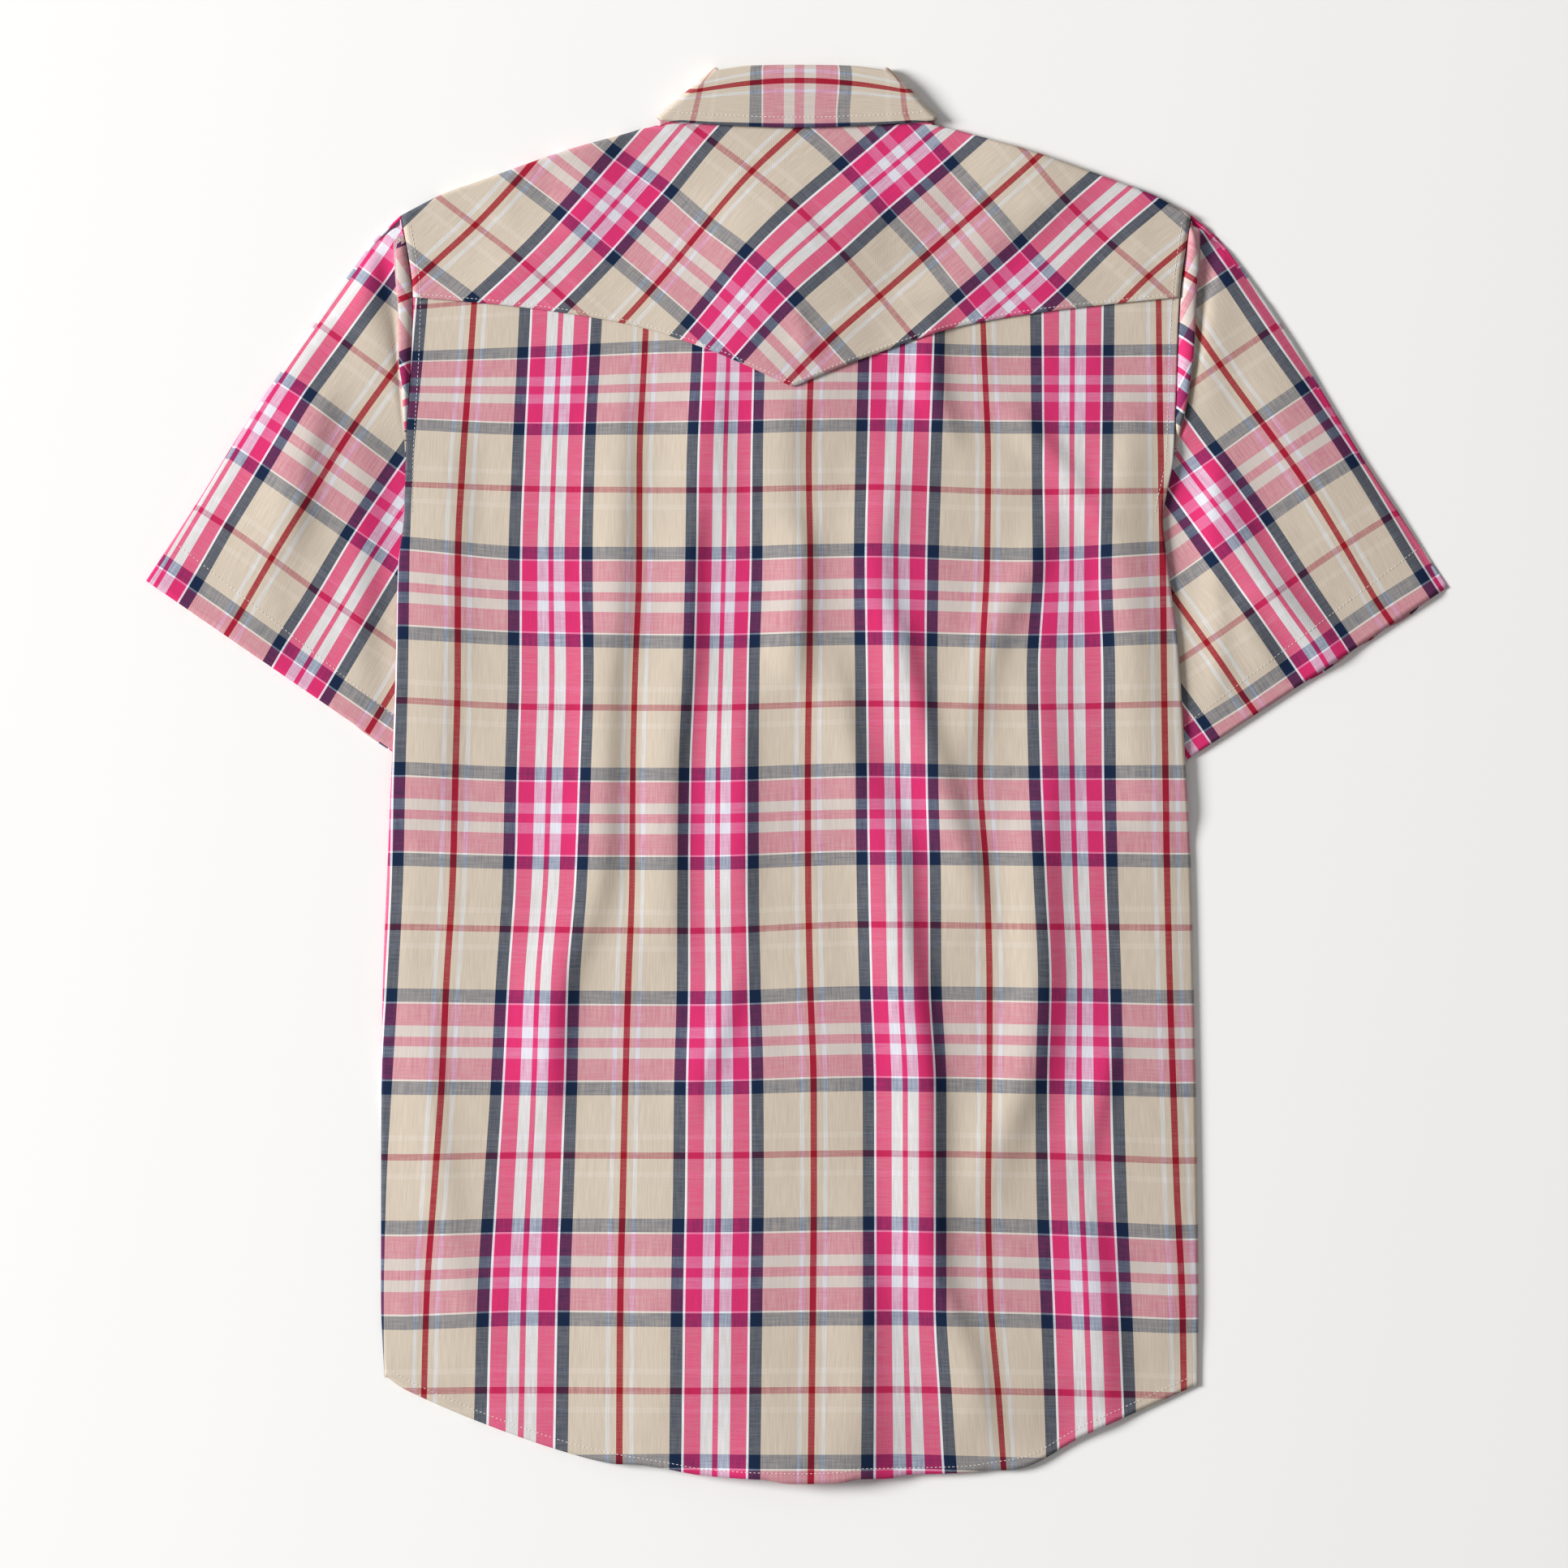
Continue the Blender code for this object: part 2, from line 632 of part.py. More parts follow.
SLEEVE_ACROSS = (0.0, 0.1, 0.2, 0.3126, 0.42, 0.53, 0.64, 0.74, 0.84, 0.9207, 1.0)
SLEEVE_ALONG = (0.0, 1.5, 5.0, 8.0, 11.0, 22.0, 40.0, 62.0, 88.0, 114.0, 140.0, 168.0, 196.0, 224.0,
                250.0)
FOLD_TURNS = 3                                     # steps round each sleeve fold


def armhole_point(cut, across):
    """A point of the sleeve's armhole edge, from the shoulder to the underarm."""
    y = cut.shoulder[1] + (cut.underarm[1] - cut.shoulder[1]) * across
    if y >= UNDERARM_Y:
        return side_edge(cut.side, y) + cut.side * ARMHOLE_GAP, y
    start = side_edge(cut.side, UNDERARM_Y) + cut.side * ARMHOLE_GAP
    share = (UNDERARM_Y - y) / (UNDERARM_Y - cut.underarm[1])
    return start + (cut.underarm[0] - start) * share, y


def sleeve_edges(cut, along):
    """The sleeve's top edge and underarm edge at a share of its length."""
    top = blend(cut.shoulder, cut.hem_top, along)
    run = (cut.hem_top[0] - cut.shoulder[0], cut.hem_top[1] - cut.shoulder[1])
    length = math.hypot(*run)
    out = read_table(cut.bulge, "along", along, "out")
    normal = (-run[1] / length * cut.side, run[0] / length * cut.side)
    top = (top[0] + normal[0] * out, top[1] + normal[1] * out)
    return top, blend(cut.underarm, cut.hem_under, along)


def fold_way(cut, along, out):
    """Direction in plan in which a sleeve's edge fold bulges: -1 its top, 1 its underarm."""
    near = blend(cut.shoulder, cut.underarm, 0.0 if out < 0 else 1.0)
    far = cut.hem_top if out < 0 else cut.hem_under
    run = (far[0] - near[0], far[1] - near[1])
    square = (run[1] * cut.side * out, -run[0] * cut.side * out)
    length = math.hypot(*square)
    level = (0.0, 1.0) if out < 0 else (cut.side * UNDERARM_WAY[0], UNDERARM_WAY[1])
    way = blend(level, (square[0] / length, square[1] / length), ease(along, 0.0, 0.09))
    length = math.hypot(*way)
    return way[0] / length, way[1] / length


def place_sleeve(cut):
    """Placing function of one sleeve's tube."""
    flat = len(SLEEVE_ACROSS) - 1
    half = flat + FOLD_TURNS

    def place(column, row):
        along = SLEEVE_ALONG[row] / SLEEVE_ALONG[-1]
        step = column % (2 * half)
        upper = step < half
        step_in = step if upper else step - half
        index = min(step_in, flat)
        out = 1 if upper else -1
        turn = (step_in - index) / FOLD_TURNS
        share = SLEEVE_ACROSS[index if upper else flat - index]
        top_edge, under_edge = sleeve_edges(cut, along)
        width = math.hypot(under_edge[0] - top_edge[0], under_edge[1] - top_edge[1])
        share = min(max(share, SLEEVE_FOLD / width), 1.0 - UNDERARM_FOLD / width)
        x, y = blend(top_edge, under_edge, share)
        straight = blend(cut.shoulder, cut.underarm, share)
        arm = armhole_point(cut, share)
        hold = ease(along, 0.35, 0.0)
        x += (arm[0] - straight[0]) * hold
        y += (arm[1] - straight[1]) * hold
        top = sleeve_height(cut, x, y)
        high = 1.0 if upper else 0.0
        if turn:
            past, drop = add_bend(turn, UNDERARM_FOLD if upper else SLEEVE_FOLD)
            way = fold_way(cut, along, out)
            x, y = x + way[0] * past, y + way[1] * past
            high = drop if upper else 1.0 - drop
        return x, y, GROUND + (top - GROUND) * high
    return place


def sleeve_height(cut, x, y):
    """Middle of a sleeve's top layer."""
    level = min(max(y, BODY[0].y), SHOULDER_TIP_Y)
    outside = cut.side * (x - side_edge(cut.side, level))
    under_body = ease(outside, *SLEEVE_UNDER) * ease(y, *SLEEVE_UNDER_TOP)
    tucked = 2.0 * UNDERARM_FOLD
    near = ease(outside, *RIDGE_STEP)
    ridge = CAP_RIDGE * near - CAP_DIP * (1.0 - near) * ease(outside, *DIP_OUTER)
    ridge *= ease(y, *RIDGE_FOOT) * ease(y, *RIDGE_TOP) * ease(outside, *RIDGE_INNER)
    folds = fold_height(cut.folds, x, y) * (1.0 - under_body)
    loft = LOFT + (tucked - LOFT) * under_body
    return GROUND + loft + ridge + folds


def add_sleeves():
    """Both sleeves as flattened tubes, open at the armhole and the hem."""
    around = 2 * (len(SLEEVE_ACROSS) - 1 + FOLD_TURNS)
    for name, cut in SLEEVES.items():
        make_cloth(name, PLAID, around, len(SLEEVE_ALONG) - 1, place_sleeve(cut), closed=True)


# ---------------------------------------------------------------- collar

BACK_STEPS = 8                                     # across half of the collar's back
BEND_STEPS = 4
LEAF_STEPS = 8
COLLAR_HALF = BACK_STEPS + BEND_STEPS + LEAF_STEPS
LAP_STEPS = 3                                      # steps over which the stand's ends lap
FALL_ROWS = 5
ROLL_STEPS = 3
STAND_ROWS = 2


def read_stations(stations, share, name):
    """A point between the stations, share from 0 at the first to 1 at the last."""
    reach = share * (len(stations) - 1)
    first = min(int(reach), len(stations) - 2)
    return blend(getattr(stations[first], name), getattr(stations[first + 1], name),
                 reach - first)


def collar_line(step, low, high):
    """One crosswise line of the collar: its side, its two ends and its turn at the fold."""
    side = -1 if step < 0 else 1
    past_back = abs(step) - BACK_STEPS
    if past_back <= 0:
        share, table, turn = abs(step) / BACK_STEPS, COLLAR_BACK, 0.0
    elif past_back < BEND_STEPS:
        share, table, turn = 0.0, COLLAR_FRONT, past_back / BEND_STEPS
    else:
        share, table, turn = (past_back - BEND_STEPS) / LEAF_STEPS, COLLAR_FRONT, 1.0
    return side, read_stations(table, share, low), read_stations(table, share, high), turn


def turn_collar(x, y, turn, reach, top, bottom):
    """Carry a point of the collar round its side fold, from the top layer to the bottom."""
    fold = COLLAR_FRONT[0]
    run = (fold.edge[0] - fold.roll[0], fold.roll[1] - fold.edge[1])
    length = math.hypot(*run)
    past, high = add_bend(turn, reach)
    return x + run[1] / length * past, y + run[0] / length * past, bottom + (top - bottom) * high


def lean_out(side, x, y):
    """How far the collar's right side stands further out than its left."""
    if side < 0:
        return 0.0
    return RIGHT_LEAN * ease(y, *LEAN_ALONG) * min(x / COLLAR_BACK[-1].roll[0], 1.0)


def fall_height(share):
    """Middle of the fall at the back, share from its outer edge to the roll."""
    rise = math.sin(math.pi * min(share / 0.9, 1.0) / 2.0)
    rolling = ease(share, 0.72, 1.0)
    crest = FALL_EDGE_Z + (FALL_CREST_Z - FALL_EDGE_Z) * rise
    return crest * (1.0 - rolling) + FALL_ROLL_Z * rolling


def place_fall(column, row):
    """A point of the fall: from its outer edge to the roll, and round it to the stand."""
    side, start, end, turn = collar_line(column - COLLAR_HALF, "edge", "roll")
    share = min(row / FALL_ROWS, 1.0)
    x, y = blend(start, end, share)
    length = math.hypot(end[0] - start[0], end[1] - start[1])
    past, high = add_bend(max(row - FALL_ROWS, 0) / ROLL_STEPS, ROLL_REACH)
    x += (end[0] - start[0]) / length * past
    y += (end[1] - start[1]) / length * past
    bottom = GROUND + (stand_front_height(side, x) - GROUND) * (1.0 - high)
    top = STAND_TOP_Z + (fall_height(share) - STAND_TOP_Z) * high
    reach = STAND_FOLD + (FALL_FOLD - STAND_FOLD) * high
    x, y, z = turn_collar(x + lean_out(side, x, y), y, turn, reach, top, bottom)
    return side * x, y, z


def stand_front_height(side, x):
    """Middle of the stand at the front: over the collar's leaf, lapped at the centre."""
    height = GROUND + LAYER + (PLACKET_LIFT - LAYER) * ease(x, *STAND_CAPS)
    if side > 0:
        height += LAYER * ease(x, *STAND_OVER)
    return height


def place_stand(column, row):
    """A point of the stand, from the neck seam up to the fall's inner edge."""
    side, start, end, turn = collar_line(column - COLLAR_HALF, "neck", "top")
    share = row / STAND_ROWS
    x, y = blend(start, end, share)
    top = STAND_SEAM_Z + (STAND_TOP_Z - STAND_SEAM_Z) * share
    bottom = stand_front_height(side, x)
    x, y, z = turn_collar(x + lean_out(side, x, y), y, turn, STAND_FOLD, top, bottom)
    x -= STAND_LAP * ease(abs(column - COLLAR_HALF), COLLAR_HALF - LAP_STEPS, COLLAR_HALF)
    return side * x, y, z


def add_collar():
    """The collar's fall and its stand, each one band from front end to front end."""
    make_cloth("collar", PLAID_DARK, 2 * COLLAR_HALF, FALL_ROWS + ROLL_STEPS, place_fall)
    make_cloth("collar_stand", PLAID, 2 * COLLAR_HALF, STAND_ROWS, place_stand)


def main():
    """Clear the scene and build the shirt."""
    for old in list(bpy.data.objects):
        bpy.data.objects.remove(old, do_unlink=True)
    add_back()
    add_yoke()
    add_fronts()
    add_placket()
    add_sleeves()
    add_collar()


main()
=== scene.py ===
"""Looks of a short-sleeved western snap shirt that lies flat on its front, its back up.

Blender 4.5. Tables and sizes are in millimetres, and cut_cloth turns them to metres.
+X is the right of the laid shirt, +Y runs to the collar and +Z is up. Each cloth piece
is a grid laid out by its own lay method and then given its thin wall. Its UV map holds
its place on the woven plaid, in repeats of the warp and of the weft.
"""
import logging
import math
from dataclasses import dataclass, field
from enum import Enum
from typing import Callable, NamedTuple, Sequence

import bmesh
import bpy
import numpy as np
from mathutils import Matrix, Vector, noise


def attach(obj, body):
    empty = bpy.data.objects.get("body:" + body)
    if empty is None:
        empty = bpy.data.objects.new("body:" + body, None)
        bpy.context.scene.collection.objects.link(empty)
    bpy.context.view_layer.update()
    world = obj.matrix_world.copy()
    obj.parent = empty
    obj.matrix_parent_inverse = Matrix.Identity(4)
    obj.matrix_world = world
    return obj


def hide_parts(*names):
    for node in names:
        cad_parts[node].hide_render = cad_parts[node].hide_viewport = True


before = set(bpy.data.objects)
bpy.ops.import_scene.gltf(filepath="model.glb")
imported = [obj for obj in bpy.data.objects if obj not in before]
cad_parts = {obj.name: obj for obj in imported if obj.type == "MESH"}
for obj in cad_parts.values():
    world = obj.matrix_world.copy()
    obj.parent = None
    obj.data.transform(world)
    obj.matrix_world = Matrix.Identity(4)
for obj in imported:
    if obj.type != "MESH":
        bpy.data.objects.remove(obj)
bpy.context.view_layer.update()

METRES = 0.001            # one millimetre
WELD = 0.01               # millimetres within which points become one
BODY = "root"
GRAIN = "grain"           # UV map that every cloth piece carries
LOG = logging.getLogger("shirt")

Array = np.ndarray
Material = bpy.types.Material
Socket = bpy.types.NodeSocket
Tree = bpy.types.NodeTree
Lay = Callable[[Array, Array], "Laid"]
Pair = tuple[float, float]
Step = tuple[float, float]        # a smooth step: where it is 0 and where it is 1
Run = tuple[float, float, int]    # of a seam: its start, its end and its points


class Side(Enum):
    """The laid shirt's left or right side, as the sign of X."""
    LEFT = -1
    RIGHT = 1

    @property
    def column(self) -> str:
        """Give the name of this side's column in the tables."""
        return self.name.lower()


class Slot(Enum):
    """Names for material slots, which nothing in this script uses."""
    SHIRTING = "shirting"
    SNAP = "snap"


class Laid(NamedTuple):
    """Where a piece's points lie, and their place on the woven cloth in repeats."""
    x: Array
    y: Array
    z: Array
    u: Array
    v: Array


class EdgePoint(NamedTuple):
    """A point on an edge that runs across the body. A sharp one is a corner."""
    x: float
    y: float
    sharp: bool = False


class Section(NamedTuple):
    """One level of the body: where its left and right edges are."""
    y: float
    left: float
    right: float


class Crest(NamedTuple):
    """A point on the crest of a fold."""
    y: float
    x: float
    height: float


class Fold(NamedTuple):
    """A soft fold: how far it falls off to either side, and its crest in rising Y."""
    left: float
    right: float
    crests: tuple[Crest, ...]


class Bulge(NamedTuple):
    """How far a sleeve's top edge stands out from its straight chord."""
    along: float
    out: float


class WarpRow(NamedTuple):
    """One level of the back: X of the plaid's upright lines, in the order of WARP_LINES."""
    y: float
    lines: tuple[float, ...]


class WeftLine(NamedTuple):
    """A crosswise line of the back's plaid: its Y in the order of WEFT_COLUMNS."""
    v: float
    heights: tuple[float, ...]


class Mark(NamedTuple):
    """A crossing of the plaid on a piece: its place, and its warp and weft in repeats."""
    x: float
    y: float
    u: float
    v: float


class CapStep(NamedTuple):
    """One row of a sleeve's cap, where a lip of cloth is laid back at the armhole."""
    flat: float     # way from the armhole if the cloth were flat
    out: float      # how far the lip carries it out, as a share of the lip's width
    lift: float     # height over the sleeve
    before: float   # 1 on the lip's face, 0 past it


class Peek(NamedTuple):
    """How far the lower layer of a sleeve shows past the hem, at a share of its width."""
    share: float
    left: float
    right: float


class CollarStation(NamedTuple):
    """One crosswise line of the collar's right half, from its neck side outwards."""
    neck: Pair
    top: Pair
    roll: Pair
    edge: Pair


class Band(NamedTuple):
    """A stripe of the plaid: its width, its yarn and how much of it lies on the face."""
    width: float
    yarn: str
    cover: float = 0.62


def make_rows(kind: type, *rows: tuple) -> tuple:
    """Make a table of one kind of row, its values in the order of the kind's columns."""
    return tuple(kind(*row) for row in rows)


def make_folds(*rows: tuple) -> tuple[Fold, ...]:
    """Make folds from rows of both fall-offs and then each crest's Y, X and height."""
    return tuple(Fold(left, right, make_rows(Crest, *crests)) for left, right, *crests in rows)


def turn_back(half: tuple[Band, ...]) -> tuple[Band, ...]:
    """Complete a balanced sett, whose stripes turn back at the last one."""
    return half + half[-2::-1]


# ---------------------------------------------------------------- tables of the form

BODY_EDGES = make_rows(
    Section, (-350, -237, 230.4), (-300, -239.3, 230.4), (-210, -239.2, 229.4),
    (-125, -238.3, 227.8), (-50, -235.5, 226), (10, -232.7, 222.7), (70, -230.4, 219),
    (120, -229.2, 213), (146, -226.2, 209.9), (182, -225.1, 216.2), (274, -221, 219.8),
    (321.3, -227.8, 226.2),
)
HEM = make_rows(
    EdgePoint, (-239, -344), (-230.8, -351.3), (-216.4, -358.7), (-180.9, -373.7),
    (-138.4, -388.6), (-113.2, -395.4), (-73.6, -402), (-53.8, -405.4), (-23.1, -407.1),
    (4, -407.6), (25.4, -406.9), (36, -405), (50, -405.1), (94.8, -404.3), (114.6, -401.6),
    (129.5, -399.2), (164.1, -381.1), (197.2, -366.2), (230.4, -351.3),
)
YOKE_EDGE = make_rows(
    EdgePoint, (-221, 274), (-163, 268.6), (-98.7, 258.4), (-52.5, 243.9), (-2.6, 221.9, True),
    (36.2, 237.8), (97.8, 257.9), (148.2, 266.2), (219.8, 274),
)
SHOULDER = make_rows(
    EdgePoint, (-227.8, 321.3), (-202.8, 333.9), (-185.6, 339.9), (-129.5, 359.5), (-94.5, 369.2),
    (-80, 374.1, True), (80, 374.1, True), (94.5, 369.2), (129.5, 359.7), (185.6, 340.1),
    (202.8, 333.6), (226.2, 321.3),
)
NECK_SEAM = make_rows(
    EdgePoint, (-75, 375.2), (-39, 375.4), (0, 374.6), (39, 375.4), (75, 375.2),
)
FRONT_NECK = make_rows(
    EdgePoint, (0, 285), (16.5, 285, True), (45, 299.4), (72.5, 342.7), (76, 354),
)
BACK_FOLDS = make_folds(
    (20, 10, (-205, -141, 0), (-180, -142, 2.6), (-142, -141, 3.6), (-112, -134, 3.2),
     (-85, -122, 2.8), (-50, -113, 3.6), (0, -111, 3.8), (50, -109, 3.6), (100, -104, 3.8),
     (150, -103, 3.4), (200, -102, 2), (236, -100, 0)),
    (18, 8, (-112, -74, 0), (-80, -73, 2.2), (-50, -73, 2.8), (-20, -73, 3.6), (10, -72, 3.6),
     (40, -68, 3.2), (75, -62, 3.4), (130, -61, 3.4), (160, -60, 2), (200, -59, 1.6),
     (235, -60, 0)),
    (14, 9, (140, -46, 0), (175, -47, 1.6), (215, -48, 2), (246, -48, 0)),
    (14, 8, (-205, -64, 0), (-170, -53, 1.6), (-135, -40, 1.8), (-100, -32, 1), (-50, -32, 2),
     (10, -32, 2), (50, -30, 0)),
    (16, 11, (42, -1, 0), (70, -3, 4.2), (100, -1, 4.6), (130, 0, 3.8), (160, -8, 1.8),
     (200, -8, 2), (226, -6, 0)),
    (14, 8, (-30, 36, 0), (0, 32, 1.8), (25, 28, 2.2), (50, 24, 1.8), (80, 18, 0)),
    (16, 10, (-98, 106, 0), (-60, 99, 3), (-20, 87, 4), (20, 75, 3.8), (50, 65, 3.8),
     (75, 58, 3.8), (105, 48, 3), (135, 47, 3), (165, 52, 1.6), (190, 54, 0)),
    (20, 10, (-396, 112, 0), (-350, 102, 2.8), (-320, 92, 3), (-290, 79, 4.2), (-250, 76, 5),
     (-200, 75, 4.8), (-150, 70, 4.8), (-110, 63, 4.8), (-80, 59, 4.2), (-50, 56, 3.8),
     (-15, 47, 2.4), (25, 38, 0)),
    (16, 14, (-258, 106, 0), (-225, 112, 2.2), (-200, 121, 3.6), (-170, 132, 4.6), (-140, 137, 5),
     (-110, 139, 4.8), (-50, 137, 4.2), (0, 142, 2.2), (50, 138, 1.6), (90, 138, 0)),
    (12, 10, (-5, 97, 0), (30, 98, 1.8), (60, 107, 2), (90, 118, 2.2), (120, 134, 2.4),
     (140, 140, 1.2), (158, 143, 0)),
    (12, 9, (134, 176, 0), (150, 169, 1.6), (168, 158, 2.2), (188, 142, 2.6), (205, 128, 1.8),
     (222, 118, 0)),
    (12, 8, (182, 92, 0), (200, 86, 2), (225, 78, 3.4), (248, 77, 2.8), (268, 76, 0)),
    (16, 10, (-360, -182, 0), (-310, -190, 1.2), (-240, -204, 1.4), (-170, -212, 1.8),
     (-110, -214, 0)),
    (18, 10, (-396, 42, 1), (-340, 38, 2.2), (-290, 36, 2.2), (-255, 34, 1.2), (-215, 32, 0)),
    (18, 10, (-396, 178, 1), (-345, 176, 2.2), (-310, 174, 2.6), (-265, 168, 1.8), (-235, 165, 0)),
    (14, 8, (-240, 158, 0), (-205, 168, 1.8), (-172, 177, 2.2), (-145, 184, 0)),
    (26, 18, (-20, 204, 0), (40, 202, 1.4), (100, 197, 2.2), (160, 194, 2.4), (200, 196, 1.6),
     (236, 200, 0)),
    (60, 120, (-410, -56, 3), (-300, -56, 3.8), (-200, -52, 2.6), (-110, -50, 0)),
    (30, 50, (-380, 120, 0), (-300, 122, 1.2), (-200, 122, 1.2), (-120, 122, 0)),
    (46, 60, (150, -16, 0), (215, -14, 2), (262, -14, 4.4), (310, -14, 5.4), (345, -12, 3.4),
     (372, -10, 0)),
    (24, 20, (262, 84, 0), (290, 100, 1.8), (318, 128, 2), (342, 156, 0)),
    (22, 18, (268, -176, 0), (295, -150, 1.6), (325, -120, 1.6), (352, -96, 0)),
    (10, 6, (236, 8, 0), (248, 4, 2), (260, 0, 1.8), (272, -3, 0)),
)
FRONT_FOLDS = make_folds(
    (16, 9, (-30, -128, 0), (60, -124, 0.6), (140, -120, 0.5), (190, -120, 0)),
    (12, 18, (-220, -62, 0), (-120, -68, 0.5), (10, -74, 0.6), (60, -76, 0)),
    (14, 12, (-300, -172, 0), (-200, -166, 0.6), (-60, -160, 0)),
    (18, 10, (-20, 104, 0), (60, 100, 0.6), (150, 96, 0.5), (200, 94, 0)),
    (12, 14, (-230, 140, 0), (-120, 144, 0.5), (30, 150, 0)),
    (16, 12, (-350, 74, 0), (-240, 70, 0.6), (-130, 72, 0)),
)
LEFT_SLEEVE_FOLDS = make_folds(
    (20, 11, (118, -294, 0), (148, -290, 3.2), (175, -286, 3.8), (204, -277, 3.2), (226, -270, 0)),
    (16, 10, (222, -238, 0), (250, -243, 1.8), (280, -250, 2.6), (305, -250, 1.6), (322, -240, 0)),
    (26, 14, (60, -304, 0), (105, -306, 1.5), (150, -298, 1), (200, -285, 0)),
    (12, 10, (20, -238, 0), (60, -244, 1.2), (110, -244, 1.4), (165, -242, 0)),
)
RIGHT_SLEEVE_FOLDS = make_folds(
    (16, 14, (52, 312, 0), (72, 302, 2.4), (95, 280, 3.6), (118, 260, 3.8), (140, 249, 3.8),
     (165, 240, 2.8), (188, 232, 0)),
    (12, 9, (52, 279, 0), (70, 268, 2), (88, 259, 2.2), (106, 252, 0)),
    (10, 12, (196, 240, 0), (225, 238, 1.2), (260, 240, 1.4), (300, 240, 0)),
    (16, 16, (120, 322, 0), (160, 300, 1), (210, 276, 1), (250, 260, 0)),
    (10, 8, (20, 232, 0), (60, 240, 1.2), (110, 240, 1.4), (160, 232, 0)),
)
LEFT_BULGE = make_rows(
    Bulge, (0, 0), (0.09, 4.1), (0.25, 4.8), (0.45, 5.1), (0.6, 4.1), (0.8, 1.5), (1, 0),
)
RIGHT_BULGE = make_rows(
    Bulge, (0, 0), (0.09, 5.1), (0.25, 6.9), (0.36, 6.6), (0.5, 4), (0.7, 1), (1, 0),
)
CAP_STEPS = make_rows(
    CapStep, (0, 0, -0.7, 1), (0.8, 0.07, 0.2, 1), (1.6, 0.2, 0.95, 1), (2.4, 0.38, 1.5, 1),
    (3.2, 0.58, 1.75, 1), (4, 0.77, 1.8, 1), (4.8, 0.91, 1.65, 1), (5.6, 0.98, 1.35, 1),
    (6.4, 0.95, 1, 0.6), (7.2, 0.82, 0.8, 0.15), (8, 0.64, 0.65, 0), (8.8, 0.5, 0.45, 0),
    (9.6, 0.42, 0.15, 0), (10.4, 0.4, -0.1, 0), (11.4, 0.42, -0.35, 0), (12.6, 0.46, -0.65, 0),
    (14.2, 0.48, -0.9, 0), (16.4, 0.42, -1.05, 0), (19, 0.3, -1, 0), (22, 0.17, -0.8, 0),
    (25, 0.06, -0.5, 0), (28, 0, -0.25, 0),
)
LIPS = make_rows(
    Section, (182, 0, 0), (198, 0.5, 1.4), (207, 1.2, 3), (216, 1.8, 4.4), (226, 2.7, 5.2),
    (237, 4.5, 6.2), (250, 4.6, 6.2), (268, 4.9, 5.4), (282, 4.7, 4.6), (290, 3.6, 4),
    (297, 2.4, 2.8), (303, 0.8, 1.2), (308, -1.8, -0.4), (312, -3.4, -2), (315, -3.6, -3.2),
    (318, -3.6, -3.6),
)
PEEKS = make_rows(
    Peek, (0, 0, 0), (0.09, 0, 0), (0.13, 0, 1.6), (0.17, 0, 1.6), (0.22, 0, 0.1), (0.27, 0, 1.1),
    (0.32, 0, 0.1), (0.38, 0, 1.5), (0.44, 0, 1.5), (0.52, 0, 0), (0.74, 0, 0), (0.79, 1.6, 0),
    (0.85, 1.6, 0), (0.92, 0.3, 0), (1, 0, 0),
)
COLLAR_BACK = make_rows(
    CollarStation, ((0, 374.6), (0, 405.1), (0, 405.6), (0, 371.3)),
    ((39, 375.4), (27.2, 404.8), (27, 405.3), (42, 372.7)),
    ((75, 375.2), (46.8, 402.7), (46.5, 403.3), (79, 375.6)),
)
COLLAR_FRONT = (COLLAR_BACK[-1], *make_rows(
    CollarStation, ((72.5, 343), (41.5, 379.5), (41, 380), (84, 338)),
    ((45, 299.7), (27.4, 345.3), (27, 346), (74, 290)),
    ((16.5, 285.3), (13.8, 321), (13, 325), (58, 256)),
    ((1, 285.3), (1, 315.5), (3, 320), (46, 240)),
))
SNAP_LEVELS = (302, 268, 180, 92, 4, -84, -172, -260)    # Y: one on the stand, then every 88 mm

# ---------------------------------------------------------------- tables of the plaid

WARP_REPEAT = 100.0       # millimetres of cloth in one repeat across
WEFT_REPEAT = 120.0       # and along
WARP_SETT = turn_back(make_rows(
    Band, (1.9, "red", 0.72), (3.2, "tan"), (2.6, "pale", 0.57), (19.5, "tan"), (6.3, "navy"),
    (0.9, "white", 0.8), (8.5, "pink"), (5.7, "ecru"), (2.8, "pink")))
WEFT_SETT = turn_back(make_rows(
    Band, (2.4, "rose"), (6.2, "bone"), (12, "rose"), (0.9, "white"), (6.8, "slate"),
    (20.7, "tan"), (2.6, "mist"), (6.8, "tan"), (3.2, "brick")))
YARNS = {
    "tan": "CEC0AF", "navy": "10203A", "slate": "223250", "pink": "DD2868", "rose": "CB4476",
    "ecru": "DFE2EC", "bone": "D5CDD6", "white": "F0F0F4", "pale": "D6D9DE", "mist": "D8CDC0",
    "red": "94101A", "brick": "962A3A",
}
WARP_LINES = (-2.3, -2, -1.7, -1.3, -1, -0.7, -0.3, 0, 0.3, 0.7, 1, 1.3, 1.7, 2)
